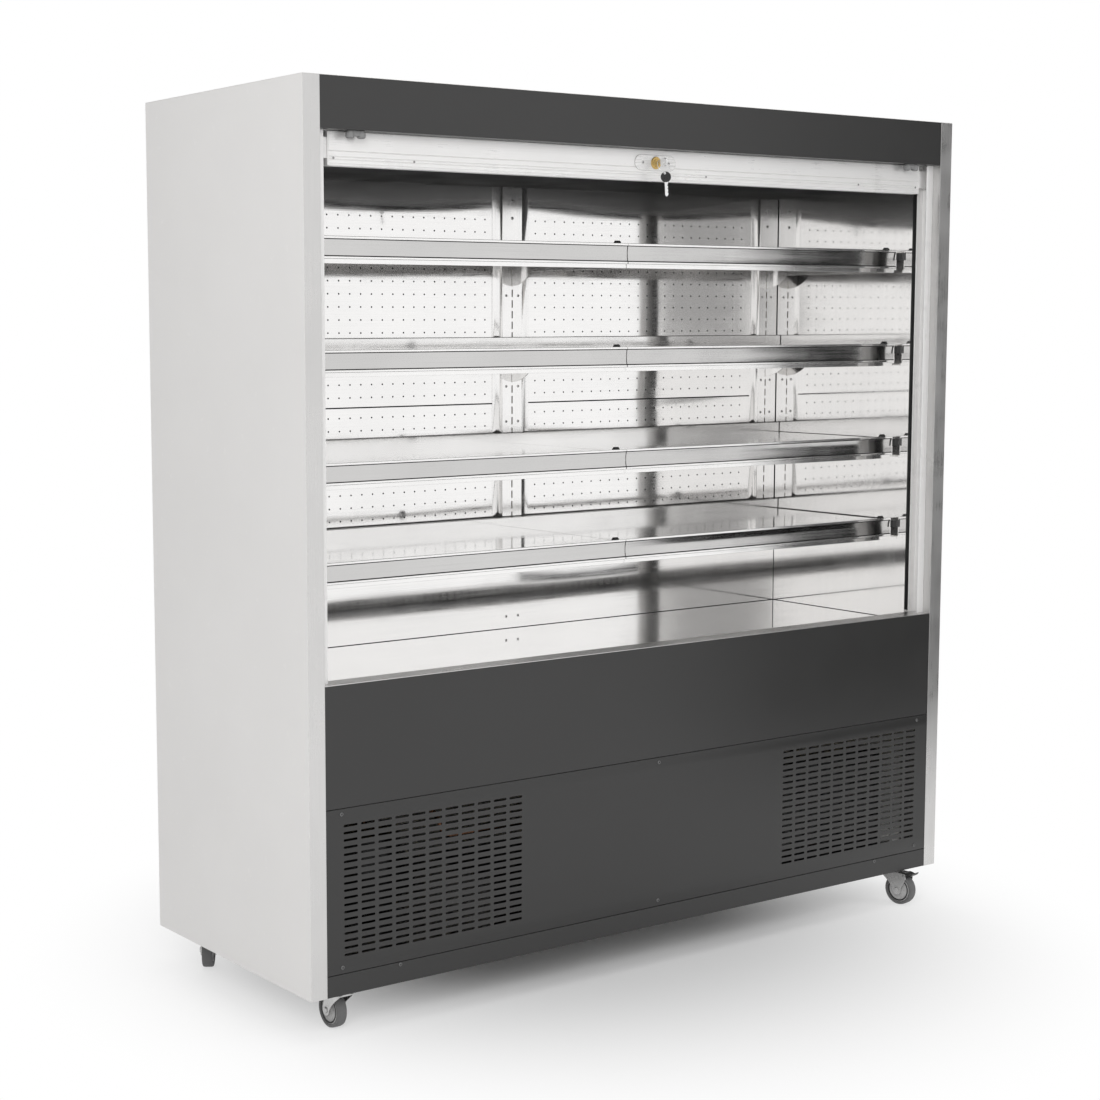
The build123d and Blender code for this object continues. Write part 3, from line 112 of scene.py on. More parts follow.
def surface(name, colour, roughness, metallic=0.0, grain=None, grain_depth=0.00001, spread=0.05,
            mottle=0.04, mottle_scale=4.0, pebble=0.0, pebble_scale=900.0, coat=0.0, specular=0.5,
            scuffs=0.0):
    """Procedural finish: cloudy colour and gloss, a brushed or pebbled skin, and fine scuffs."""
    mat = bpy.data.materials.new(name)
    mat.use_nodes = True
    tree = mat.node_tree
    place = add_node(tree, "TexCoord", {}).outputs["Object"]

    def noise(scale, detail, stretch=None):
        at = place
        if stretch:
            at = add_node(tree, "Mapping", {"Vector": place, "Scale": stretch}).outputs["Vector"]
        texture = add_node(tree, "TexNoise", {"Vector": at, "Scale": scale, "Detail": detail})
        return texture.outputs["Fac"]

    def ranged(value, low, high, start=0.3, end=0.7):
        return add_node(tree, "MapRange", {"Value": value, "From Min": start, "From Max": end,
                                           "To Min": low, "To Max": high}).outputs["Result"]

    def mixed(factor, first, second):
        return add_node(tree, "Mix", {"Factor": factor, 6: first, 7: second},
                        data_type="RGBA").outputs[2]

    def toned(factor, lift=0.0):
        return tuple(min(1.0, c * factor + lift) for c in colour[:3]) + (1.0,)

    cloud = ranged(noise(mottle_scale, 5.0), 0.0, 1.0)
    tint = mixed(cloud, toned(1 - mottle), toned(1 + mottle))
    gloss = ranged(noise(mottle_scale * 2.7, 4.0), roughness - spread, roughness + spread)
    if scuffs:
        tint = mixed(ranged(noise(55.0, 6.0), 0.0, scuffs, 0.66, 0.74), tint, toned(1.25, 0.02))
    if grain:
        lines = noise(1.0, 3.0, grain)
        tint = mixed(ranged(lines, 0.0, 0.55, 0.45, 0.75), tint, toned(0.93))
        gloss = add_node(tree, "Math", {0: gloss, 1: ranged(lines, -0.04, 0.05)},
                         operation="ADD").outputs["Value"]
    shader = fill(tree, tree.nodes["Principled BSDF"], {
        "Base Color": tint, "Roughness": gloss, "Metallic": metallic,
        "Specular IOR Level": specular, "Coat Weight": coat, "Coat Roughness": 0.12})
    if grain or pebble:
        bump = add_node(tree, "Bump", {
            "Strength": 1.0, "Distance": grain_depth if grain else pebble,
            "Height": lines if grain else noise(pebble_scale, 2.0)})
        fill(tree, shader, {"Normal": bump.outputs["Normal"]})
    return mat


def polished(name, value, roughness, metallic, grain, spread=0.02):
    """Near-mirror steel with a faint grain."""
    return surface(name, grey(value, 1), roughness, metallic, grain=grain, mottle=0.02,
                   grain_depth=0.000001, spread=spread)


ALONG_X = (5.0, 1400.0, 1400.0)
ALONG_Z = (1400.0, 1400.0, 5.0)
pale_paint = surface("pale_powder_coat", grey(226, 1.5), 0.42, pebble=0.000025, pebble_scale=700,
                     mottle=0.012, scuffs=0.10)
dark_paint = surface("dark_powder_coat", grey(45, 0.3), 0.30, pebble=0.000004, pebble_scale=1200,
                     mottle=0.03, spread=0.015)
screw_steel = surface("darkened_screws", grey(120), 0.4, 1.0, mottle=0.1, mottle_scale=60)
post_steel = surface("brushed_post", grey(214, 1), 0.30, 1.0, grain=ALONG_Z, mottle=0.03)
panel_steel = polished("bright_panel_steel", 248, 0.07, 0.94, ALONG_X)
deck_steel = polished("polished_deck", 246, 0.06, 0.92, ALONG_X)
liner_steel = polished("polished_liner", 242, 0.05, 0.94, ALONG_Z)
upright_steel = polished("satin_upright_steel", 248, 0.11, 0.95, ALONG_Z, 0.03)
# Dull dark grey on the stainless ceiling: painted shade and painted dark reflection in place of
# bright steel
painted_shade_ceiling = surface("ceiling_grey_painted_shade", grey(70), 0.62, grain=ALONG_X, mottle=0.05,
                     grain_depth=0.000003, specular=0.1)
mesh_steel = surface("return_mesh_steel", grey(120), 0.3, 1.0, mottle=0.05, mottle_scale=30)
shelf_steel = surface("satin_shelf_steel", grey(246, 1), 0.10, 0.9, grain=ALONG_X, mottle=0.03,
                      grain_depth=0.0000015, spread=0.03)
strip_steel = surface("ticket_strip_steel", grey(206, 1), 0.13, 1.0, grain=ALONG_X, mottle=0.04,
                      grain_depth=0.000002, spread=0.03)
coated_aluminium = surface("satin_anodised", grey(236, 1), 0.32, 0.35, grain=ALONG_X,
                           mottle=0.02, grain_depth=0.000003)
guide_aluminium = surface("guide_anodised", grey(238, 1), 0.30, 0.25, grain=ALONG_Z,
                          mottle=0.02, grain_depth=0.000003)
zinc = surface("bright_zinc", grey(196, 0.5), 0.26, 1.0, mottle=0.10, mottle_scale=40.0,
               scuffs=0.25)
galvanised = surface("galvanised_sheet", grey(168, 0.5), 0.42, 1.0, mottle=0.16,
                     mottle_scale=28.0, spread=0.10)
black_rubber = surface("black_rubber", grey(32), 0.62, pebble=0.00002, mottle=0.10,
                       mottle_scale=30)
grey_rubber = surface("grey_rubber", grey(104), 0.58, pebble=0.00002, mottle=0.06,
                      mottle_scale=40, scuffs=0.35)
stop_rubber = surface("stop_rubber", grey(128), 0.50, pebble=0.00002, mottle=0.05,
                      mottle_scale=40)
hub_plastic = surface("hub_plastic", grey(186, 0.5), 0.35, pebble=0.00001, mottle=0.03,
                      mottle_scale=30, scuffs=0.2)
black_plastic = surface("black_plastic", grey(26), 0.34, pebble=0.000015, mottle=0.08,
                        mottle_scale=40, scuffs=0.2)
brass = surface("turned_brass", (0.60, 0.42, 0.16, 1.0), 0.24, 1.0, mottle=0.06, mottle_scale=60)
nickel = surface("nickel_plate", grey(236), 0.16, 1.0, mottle=0.05, mottle_scale=60, scuffs=0.2)
lock_steel = surface("lock_plate_steel", grey(226, 1), 0.28, 0.5, grain=ALONG_X, mottle=0.02)
foam = surface("rigid_foam", (0.74, 0.66, 0.42, 1.0), 0.9, pebble=0.0003, pebble_scale=220,
               mottle=0.10, mottle_scale=18)
copper = surface("copper_tube", (0.36, 0.18, 0.11, 1.0), 0.34, 1.0, mottle=0.14, mottle_scale=30)
gloss_black = surface("gloss_black_enamel", grey(20), 0.22, pebble=0.00001, mottle=0.08,
                      coat=0.4)
fin_aluminium = surface("plain_fins", grey(196), 0.34, 1.0, mottle=0.05, mottle_scale=30)
grey_plastic = surface("light_grey_plastic", grey(176), 0.46, pebble=0.00001, mottle=0.03)
# Black for the sealed joints, and painted shade in screw recesses, strip grooves, behind the back
# panels' holes and on the rail's back face
sealant_black_and_painted_shade = surface("sealant_black_and_painted_shade", grey(12), 0.7, mottle=0.1, mottle_scale=50)


# ---------- mesh making
WELD = 0.000002                                 # points closer than this, in m, are one
BOX_FACES = [(0, 2, 3, 1), (4, 5, 7, 6), (0, 1, 5, 4), (2, 6, 7, 3), (0, 4, 6, 2), (1, 3, 7, 5)]
RIGHT, BACK, UP = (1, 0, 0), (0, 1, 0), (0, 0, 1)
FORWARD = (0, -1, 0)


def polar(radius, degrees):
    turn = radians(degrees)
    return radius * cos(turn), radius * sin(turn)


def moved(outline, x, y):
    return [(x + a, y + b) for a, b in outline]


def both(half):
    """Profile of (radius, distance) that is the same on its other side."""
    return [(radius, -along) for radius, along in reversed(half)] + half


def between(side, near, far):
    """Two places across, on the left or the right side."""
    return sorted((side * near, side * far))


def placed(name, data):
    obj = bpy.data.objects.new(name, data)
    bpy.context.scene.collection.objects.link(obj)
    return obj


class Shape:
    """Faces gathered in mm, made into one piece at the end."""

    def __init__(self, home=CABINET):
        self.home = home
        self.points = []
        self.faces = []
        self.slots = []
        self.current = 0

    def add(self, points, faces):
        start = len(self.points)
        self.points += [Vector(p) for p in points]
        self.faces += [tuple(start + i for i in face) for face in faces]
        self.slots += [self.current] * len(faces)

    def box(self, x, y, z):
        self.add([(a, b, c) for c in z for b in y for a in x], BOX_FACES)

    def prism(self, outline, low, high, axis="x"):
        """Closed outline in the other two axes' plane, drawn out along one axis."""
        place = {"x": lambda t, a, b: (t, a, b), "y": lambda t, a, b: (a, t, b),
                 "z": lambda t, a, b: (a, b, t)}[axis]
        count = len(outline)
        points = [place(t, a, b) for t in (low, high) for a, b in outline]
        sides = [(i, (i + 1) % count, count + (i + 1) % count, count + i) for i in range(count)]
        self.add(points, sides + [tuple(reversed(range(count))), tuple(range(count, 2 * count))])

    def rod(self, radius, low, high, centre, axis, segments):
        self.lathe([(0, low), (radius, low), (radius, high), (0, high)], centre, axis, segments)

    def lathe(self, profile, centre, axis, segments=32, closed=False):
        """Profile of (radius, distance along the axis) turned round it."""
        axis = Vector(axis).normalized()
        first = axis.orthogonal().normalized()
        second = axis.cross(first)
        rings = []
        for radius, along in profile:
            ring = []
            steps = 1 if radius < 1e-6 else segments
            for step in range(steps):
                turn = 2 * pi * step / segments
                ring.append(len(self.points))
                self.points.append(Vector(centre) + axis * along
                                   + (first * cos(turn) + second * sin(turn)) * radius)
            rings.append(ring)
        pairs = list(zip(rings, rings[1:]))
        if closed:
            pairs.append((rings[-1], rings[0]))
        before = len(self.faces)
        for one, two in pairs:
            for step in range(segments):
                after = (step + 1) % segments
                corners = [one[step % len(one)], one[after % len(one)],
                           two[after % len(two)], two[step % len(two)]]
                unique = list(dict.fromkeys(corners))
                if len(unique) > 2:
                    self.faces.append(tuple(unique))
        self.slots += [self.current] * (len(self.faces) - before)

    def sheet(self, columns, rows, place, thickness, hole=None):
        """Sheet over a grid of lines, closed at its edges, with a hole in some cells."""
        nx, nz = len(columns), len(rows)
        start = len(self.points)
        for depth in (0, thickness):
            for b in rows:
                for a in columns:
                    self.points.append(Vector(place(a, b, depth)))

        def grid(side, i, j):
            return start + side * nx * nz + j * nx + i

        faces = []
        for i in range(nx - 1):
            for j in range(nz - 1):
                outline = hole(i, j) if hole else None
                corner = [(i, j), (i + 1, j), (i + 1, j + 1), (i, j + 1)]
                if not outline:
                    faces.append(tuple(grid(0, *c) for c in corner))
                    faces.append(tuple(grid(1, *c) for c in reversed(corner)))
                    continue
                middle_a = (columns[i] + columns[i + 1]) / 2
                middle_b = (rows[j] + rows[j + 1]) / 2
                rims = []
                for depth in (0, thickness):
                    rims.append([])
                    for quarter in outline:
                        first = len(self.points)
                        self.points += [Vector(place(middle_a + a, middle_b + b, depth))
                                        for a, b in quarter]
                        rims[-1].append(list(range(first, len(self.points))))
                for side, rim in enumerate(rims):
                    # the rim's quarter k faces corner k, and ends where the next quarter starts
                    for k in range(4):
                        n = (k + 1) % 4
                        one, two = grid(side, *corner[k]), grid(side, *corner[n])
                        for face in ([one] + rim[k][::-1], [one, two, rim[n][0], rim[k][-1]]):
                            faces.append(tuple(face[::-1] if side else face))
                near, far = ([v for part in rim for v in part] for rim in rims)
                for k in range(len(near)):
                    n = (k + 1) % len(near)
                    faces.append((near[k], near[n], far[n], far[k]))
        edges = [((i + 1, 0), (i, 0)) for i in range(nx - 1)]
        edges += [((i, nz - 1), (i + 1, nz - 1)) for i in range(nx - 1)]
        edges += [((0, j), (0, j + 1)) for j in range(nz - 1)]
        edges += [((nx - 1, j + 1), (nx - 1, j)) for j in range(nz - 1)]
        faces += [(grid(0, *one), grid(0, *two), grid(1, *two), grid(1, *one))
                  for one, two in edges]
        self.faces += faces
        self.slots += [self.current] * len(faces)

    def piece(self, name, materials, body="cabinet", slot=None, replaces=(), bevel=0.0,
              smooth=35):
        mesh = bpy.data.meshes.new(name)
        mesh.from_pydata([self.home @ (p * MM) for p in self.points], [], self.faces)
        for mat in materials if isinstance(materials, list) else [materials]:
            mesh.materials.append(mat)
        mesh.polygons.foreach_set("material_index", self.slots)
        obj = placed(name, mesh)
        tidy(mesh, mesh, smooth)
        if bevel:
            soften(obj, bevel)
        settle(obj, body, replaces)


def tidy(mesh, source, smooth, flatten=False):
    """Joins doubled points, turns the faces outward and smooths shallow edges."""
    work = bmesh.new()
    work.from_mesh(source)
    bmesh.ops.remove_doubles(work, verts=work.verts, dist=WELD)
    if flatten:
        bmesh.ops.dissolve_limit(work, angle_limit=radians(0.4), verts=work.verts,
                                 edges=work.edges)
        for face in work.faces:
            face.material_index = 0
    bmesh.ops.recalc_face_normals(work, faces=work.faces)
    work.to_mesh(mesh)
    work.free()
    mesh.shade_smooth()
    mesh.set_sharp_from_angle(angle=radians(smooth))
    mesh.update()


def soften(obj, width):
    """Small rounded edge on every corner."""
    bevel = obj.modifiers.new("edges", "BEVEL")
    bevel.width = width * MM
    bevel.segments = 2
    bevel.limit_method = "ANGLE"
    bevel.angle_limit = radians(32)
    bevel.harden_normals = True


def settle(obj, body, replaces):
    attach(obj, body)
    if replaces:
        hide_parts(*replaces)


def dressed(node, material, bevel):
    """A node's own form with rounded edges, in place of the node."""
    mesh = bpy.data.meshes.new(node + "_finished")
    mesh.materials.append(material)
    tidy(mesh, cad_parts[node].data, 32, flatten=True)
    obj = placed(node + "_finished", mesh)
    soften(obj, bevel)
    settle(obj, "cabinet", [node])


def paint(node, material):
    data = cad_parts[node].data
    data.materials.clear()
    data.materials.append(material)


def round_hole(radius, sides=8):
    """Rim of a round hole, in the four quarters that a sheet's cell asks for."""
    quarters = []
    each = sides // 4
    for quarter in range(4):
        start = radians(225 + 90 * quarter)
        step = radians(90 / each)
        quarters.append([(radius * cos(start + step * (k - each / 2 + 0.5)),
                          radius * sin(start + step * (k - each / 2 + 0.5)))
                         for k in range(each)])
    return quarters


def long_hole(length, height, sides=3):
    """Rim of a slot with round ends."""
    radius = height / 2
    reach = length / 2 - radius
    quarters = []
    for quarter, side in enumerate((-1, 1, 1, -1)):
        start = radians(180 + 90 * quarter)
        turns = [start + radians(90 * k / sides) for k in range(sides + 1)]
        quarters.append([(side * reach + radius * cos(t), radius * sin(t)) for t in turns])
    return quarters


def pan_head(shape, centre, axis, radius=4.2, height=1.5):
    """Low round screw head with a cross recess."""
    shape.current = 0
    shape.lathe([(radius, 0), (radius, height * 0.3), (radius * 0.9, height * 0.7),
                 (radius * 0.6, height * 0.94), (0, height)], centre, axis, 20)
    axis = Vector(axis)
    first = axis.orthogonal().normalized()
    second = axis.cross(first)
    top = Vector(centre) + axis * (height * 0.98)
    # The cross recess is near-black: painted shade inside the recess
    shape.current = 1
    for one, two in ((first, second), (second, first)):
        long, wide = one * radius * 0.55, two * radius * 0.13
        low, high = -axis * height * 0.5, axis * height * 0.05
        shape.add([top + s * long + t * wide + u
                   for u in (low, high) for t in (-1, 1) for s in (-1, 1)], BOX_FACES)
    shape.current = 0


# ---------- cabinet sheets
for node, finish, edge, slot_name in (
    ("side_panels", pale_paint, 0.45, "outer_steel"),
    ("rear_panel", pale_paint, 0.45, "outer_steel"),
    ("roof_panel", pale_paint, 0.45, "outer_steel"),
    ("side_trims", post_steel, 0.45, "stainless"),
    ("side_liners", liner_steel, 0.3, "mirror_steel"),
    ("canopy_fascia", dark_paint, 0.55, "dark_panel"),
    ("lower_front_panel", dark_paint, 0.55, "dark_panel"),
    ("kick_plate", dark_paint, 0.55, "dark_panel"),
    ("front_sill", post_steel, 0.4, "stainless"),
    ("deck_tray", deck_steel, 0.5, "mirror_steel"),
    ("uprights", upright_steel, 0.3, "shelf_steel"),
    ("ceiling_panel", painted_shade_ceiling, 0.3, "stainless"),
    ("shutter_housing", galvanised, 0.4, "galvanized"),
    *((f"shelf_{number}", shelf_steel, 0.5, "shelf_steel") for number in (1, 2, 3, 4)),
    ("shelf_brackets", shelf_steel, 0.4, "shelf_steel"),
    ("shutter_guides", guide_aluminium, 0.5, "shutter_metal"),
    ("base_frame", galvanised, 1.2, "galvanized"),
    ("base_pan", galvanised, 0.4, "galvanized"),
    ("fan_plate", galvanised, 0.4, "galvanized"),
    ("condenser_shroud", galvanised, 0.4, "galvanized"),
    ("drip_tray", galvanised, 0.8, "galvanized"),
):
    dressed(node, finish, edge)
paint("insulation_foam", foam)
paint("rear_service_panel", pale_paint)


def fold(b, low, high, radius=1.3):
    """How far a sheet's face turns back near its folded edges."""
    near = min(b - low, high - b)
    if near >= radius:
        return 0.0
    return radius - sqrt(max(0.0, radius ** 2 - (radius - near) ** 2))


# Service panel with two punched grilles
SHEET = 1.2
THIN = 1.0                                      # thickness of the inner panels
PANEL_FACE = 1.0                                # the panels' face, behind the front of the walls
service_low, service_high = (corner.z for corner in span("service_panel"))
GRILLE_X, GRILLE_Z = 600.0, 212.5
GRILLE_COLUMNS, GRILLE_ROWS = 11, 19
PITCH_X, PITCH_Z = 41.0, 14.55
columns = [-INNER]
for middle in (-GRILLE_X, GRILLE_X):
    grille_side = middle - PITCH_X * GRILLE_COLUMNS / 2
    columns += [grille_side + PITCH_X * k for k in range(GRILLE_COLUMNS + 1)]
columns.append(INNER)
grille_bottom = GRILLE_Z - PITCH_Z * GRILLE_ROWS / 2
rows = ([service_low + d for d in (0, 0.3, 1.3)]
        + [grille_bottom + PITCH_Z * k for k in range(GRILLE_ROWS + 1)]
        + [service_high - d for d in (1.3, 0.3, 0)])
slot_rim = long_hole(33.0, 5.0)


def grille_cell(i, j):
    in_columns = 1 <= i <= GRILLE_COLUMNS or GRILLE_COLUMNS + 2 <= i <= 2 * GRILLE_COLUMNS + 1
    return slot_rim if in_columns and 3 <= j < 3 + GRILLE_ROWS else None


panel = Shape()
panel.sheet(columns, rows,
            lambda a, b, t: (a, PANEL_FACE + t + fold(b, service_low, service_high), b), SHEET,
            grille_cell)
for low, high in ((service_low, service_low + SHEET), (service_high - SHEET, service_high)):
    panel.box((-INNER, INNER), (2.1, 20), (low, high))
panel.piece("service_panel_punched", dark_paint, slot="dark_panel", replaces=["service_panel"])

# Perforated back panels, slightly bowed between their edges, with the plain foot panel
HOLE_PITCH = 29.0
FIRST_HOLE = 74.2
HOLE_COLUMNS = 24
BAY_LOW, BAY_HIGH = 29.5, 798.0
BACK_FACE = UPRIGHT + 8.0
BACK_LOW = DECK - 12                            # the panels' lower edge, below the deck
SPLIT = 1140.0                                  # joint of the lower and the upper panels
hole_rim = round_hole(2.1)
back = Shape()
for side in (-1, 1):
    xs = [FIRST_HOLE + HOLE_PITCH * (k - 0.5) for k in range(HOLE_COLUMNS + 1)]
    xs = [side * x for x in [BAY_LOW] + xs + [BAY_HIGH]][::side]
    for plain, high, first_row, count in (([BACK_LOW, BACK_LOW + 60], SPLIT - 1.5, 798.0, 12),
                                          ([SPLIT + 1.5], CEILING, 1162.7, 15)):
        low, first = plain[0], len(plain)
        zs = plain + [first_row + HOLE_PITCH * (k - 0.5) for k in range(count + 1)] + [high]
        wave = random.uniform(-0.4, 0.4)

        def bowed(a, b, t, low=low, high=high, wave=wave):
            u = (abs(a) - BAY_LOW) / (BAY_HIGH - BAY_LOW)
            v = (b - low) / (high - low)
            bulge = 2.6 * sin(pi * u) * sin(pi * v) ** 0.6
            bulge += 0.45 * sin(5 * u + 3 * v + 9 * wave) * sin(pi * v)
            return (a, BACK_FACE + t - max(0.0, bulge), b)

        def pierced(i, j, first=first, count=count):
            return hole_rim if 1 <= i <= HOLE_COLUMNS and first <= j < first + count else None

        back.sheet(xs, zs, bowed, THIN, pierced)
        for x in (side * BAY_LOW, side * (BAY_HIGH - THIN)):
            back.box(sorted((x, x + side)), (BACK_FACE + 0.9, BACK_REAR), (low, high))
FOOT_TOP = SHELF_TOPS[0] - 81.2


def rippled(a, b, t):
    swell = 0.5 * sin(a / 143.0) * sin(pi * (b - BACK_LOW) / (FOOT_TOP - BACK_LOW))
    return (a, UPRIGHT - THIN + t - max(0.0, swell), b)


back.sheet([-INNER + 2 * INNER * k / 96 for k in range(97)],
           [BACK_LOW + (FOOT_TOP - BACK_LOW) * k / 12 for k in range(13)], rippled, THIN)
# Near-black sheets behind the holes: painted shade seen through the perforations
back.current = 1
for side in (-1, 1):
    back.box(between(side, BAY_LOW + 1.5, BAY_HIGH - 1.5), (BACK_FACE + 9, BACK_FACE + 10),
             (DECK, CEILING - 2))
back.piece("back_panels_perforated", [panel_steel, sealant_black_and_painted_shade], slot="mirror_steel",
           replaces=["back_panels"])

# Return-air grille with rows of short slots, turned up behind the sill
return_low, return_high = span("return_air_grille")
slot_corners = [[(-9.0, -1.6)], [(9.0, -1.6)], [(9.0, 1.6)], [(-9.0, 1.6)]]
xs = [-INNER] + [-INNER + 12 + 23.344 * k for k in range(73)] + [INNER]
mesh_plate = Shape()
for lines, place, thickness in (
    ([return_low.y] + [return_low.y + 5.5 + 7.0 * k for k in range(13)] + [return_high.y],
     lambda a, b, t: (a, b, return_high.z - t), 3.0),
    ([return_high.z] + [return_high.z + 1.5 + 7.0 * k for k in range(4)] + [SILL - SHEET],
     lambda a, b, t: (a, return_low.y + 3.2 - t, b), SHEET),
):
    def slotted(i, j, last=len(lines) - 2):
        return slot_corners if 0 < i < len(xs) - 2 and 0 < j < last else None

    mesh_plate.sheet(xs, lines, place, thickness, slotted)
mesh_plate.piece("return_air_mesh", mesh_steel, slot="stainless", replaces=["return_air_grille"])

# Sealed joints round the deck and up the corners
joints = Shape()
joints.box((-INNER, INNER), (UPRIGHT - 3.2, UPRIGHT - 1.2), (DECK - 0.4, DECK + 0.9))
for side in (-1, 1):
    joints.box(between(side, INNER - 1.4, INNER), (return_high.y, UPRIGHT - 1),
               (DECK - 0.4, DECK + 1.0))
    joints.box(between(side, INNER - 1.0, INNER), (UPRIGHT - 1.6, UPRIGHT - 0.2),
               (DECK, CEILING - 2))
joints.piece("joint_sealant", sealant_black_and_painted_shade, slot="mirror_steel", bevel=0.3)

# Air outlet: a frame filled with a close lattice
outlet_low, outlet_high = span("air_outlet")
RIM = 5                                         # width of the frame's bars
near, far = outlet_low.y + RIM, outlet_high.y - RIM
bottom, top = outlet_low.z, outlet_high.z
outlet = Shape()
for low, high in ((outlet_low.y, near), (far, outlet_high.y)):
    outlet.box((-INNER, INNER), (low, high), (bottom, top))
for low in (-INNER, INNER - RIM):
    outlet.box((low, low + RIM), (near, far), (bottom, top))
for k in range(1, 9):
    y = near + (outlet_high.y - outlet_low.y - 2 * RIM) * k / 9
    outlet.box((-INNER + RIM, INNER - RIM), (y - 0.3, y + 0.3), (bottom + 0.8, top - 0.8))
for k in range(1, 215):
    x = -INNER + RIM + 2 * (INNER - RIM) * k / 215
    outlet.box((x - 0.3, x + 0.3), (near, far), (bottom + 0.4, top - 0.4))
outlet.piece("air_outlet_lattice", grey_plastic, slot="grey_box", replaces=["air_outlet"])

# Screws of the front panels, the uprights and the rear cover
screws = Shape()
for x, z in ([(x, z) for x in (36.5 - INNER, INNER - 36.5, 0) for z in (368.0, 57.2)]
             + [(174.5 - INNER, 38.5), (INNER - 174.5, 38.5)]):
    pan_head(screws, (x, PANEL_FACE, z), FORWARD)
screws.piece("panel_screws", [screw_steel, sealant_black_and_painted_shade], slot="zinc", replaces=["cabinet_screws"])
small = Shape()
POST = INNER - 38.5                             # middle of the side uprights
for z in (1393.0, 1180.0, 1097.0):
    for x in (-17.5, 17.5):
        for middle, share in ((0, 1), (-POST, 0.9), (POST, 0.9)):
            pan_head(small, (middle + x * share, UPRIGHT, z), FORWARD, 3.2, 1.4)
for x in (-17.5, 17.5):
    pan_head(small, (x, UPRIGHT - THIN, 631.0), FORWARD, 3.2, 1.4)
for z in (1613.0, 1573.0):
    for x in (0, POST, -POST):
        pan_head(small, (x, UPRIGHT, z), FORWARD, 3.6, 1.6)
small.piece("upright_screws", [zinc, sealant_black_and_painted_shade], slot="zinc")
rear = Shape()
for x in [-880 + 220 * k for k in range(9)]:
    for z in (12.0, 428.0):
        pan_head(rear, (x, DEPTH - 0.2, z), BACK, 4.4, 1.6)
rear.piece("rear_cover_screws", [zinc, sealant_black_and_painted_shade], slot="zinc")

# ---------- ticket strips and shelf edges
UPPER_LIP = [(0, 6), (-5.6, 6), (-6.5, 5.2), (-6.5, 1.4), (-5.9, 0.9), (-4.9, 1.6), (-4.9, 4.6),
             (0, 4.6)]
FACE = [(-4.9, -0.8), (-4.5, -4), (-3.6, -10), (-3.2, -17), (-3.6, -24), (-4.5, -30),
        (-4.9, -32), (-3.9, -32.6), (-3.3, -30), (-2.2, -24), (-1.8, -17), (-2.2, -10),
        (-3.3, -4), (-3.9, -0.4)]
LOWER_LIP = [(0, -39), (-5.7, -39), (-6.5, -38.2), (-6.5, -34.6), (-5.9, -34.1), (-4.9, -34.8),
             (-4.9, -37.6), (0, -37.6)]
CLIP = [(-6.5, 6.0), (-6.3, 8.0), (-1.5, 11.5), (2.0, 11.0), (9.0, 2.2), (9.0, 0.1), (1.2, 6.2)]
UPSTAND = [(-1.5, -0.2), (-1.5, 24.2), (-5.2, 24.2), (-6.0, 24.8), (-5.2, 25.4), (-0.8, 25.4),
           (0, 24.6), (0, -0.2)]
END_PLATE = [(-5.6, 5.6), (-5.6, -42), (22, -42), (34, -30), (34, 1)]


strips = Shape()
for top in SHELF_TOPS:
    for low, high in ((-TRAY_END, -1.2), (1.2, TRAY_END)):
        for finish, outline in enumerate((FACE, UPPER_LIP, LOWER_LIP)):
            strips.current = min(finish, 1)
            strips.prism(moved(outline, TRAY_FRONT, top), low, high)
        # Near-black strips in the grooves above and below the face: painted shade
        strips.current = 2
        for lower, upper in ((-0.7, 1.5), (-34.7, -32.4)):
            strips.box((low, high), (TRAY_FRONT - 4.2, TRAY_FRONT), (top + lower, top + upper))
strips.piece("ticket_strips_rolled", [strip_steel, shelf_steel, sealant_black_and_painted_shade], slot="strip",
             replaces=["ticket_strips"], smooth=28)
clips = Shape()
for top in SHELF_TOPS:
    for x in (-26.0, TRAY_END - 30.0):
        clips.prism(moved(CLIP, TRAY_FRONT, top), x - 6, x + 6)
clips.piece("strip_clips", black_plastic, slot="black_plastic", bevel=0.4)
edges = Shape()
for top in SHELF_TOPS:
    edges.prism(moved(UPSTAND, TRAY_REAR, top), -TRAY_END - 13, TRAY_END + 13)
edges.piece("shelf_rear_edges", shelf_steel, slot="shelf_steel")
ends = Shape()
for top in SHELF_TOPS:
    for side in (-1, 1):
        ends.current = 0
        ends.box(between(side, TRAY_END + 2, TRAY_END + 14.8),
                 (TRAY_FRONT - 12, TRAY_FRONT + 24), (top - 18, top - 0.6))
        ends.current = 1
        ends.prism(moved(END_PLATE, TRAY_FRONT, top), *between(side, TRAY_END, TRAY_END + 2))
ends.piece("shelf_end_fixings", [black_plastic, upright_steel], slot="shelf_steel", bevel=0.5)

# ---------- shutter
RAIL_FOOT, RAIL_TOP = 1630.0, 1696.0            # heights that its profile is drawn between
RAIL = [(53.9, 1630), (53.9, 1696), (33.1, 1696), (32.5, 1695.4), (32.5, 1659.4),
        (34.6, 1658.9), (34.6, 1657.7), (32.7, 1657.2), (32.7, 1648.6), (34.4, 1648.1),
        (34.4, 1647.0), (32.7, 1646.5), (32.7, 1643.4), (34.4, 1642.9), (34.4, 1641.8),
        (32.7, 1641.3), (32.9, 1635.3), (34.2, 1634.8), (34.2, 1633.8), (32.5, 1633.3),
        (32.5, 1631.4), (33.6, 1630)]
RAIL_HALF = 823.0
lift = RAIL_LOW - RAIL_FOOT
LOCK_Z = 1668.5 + lift
rail = Shape()
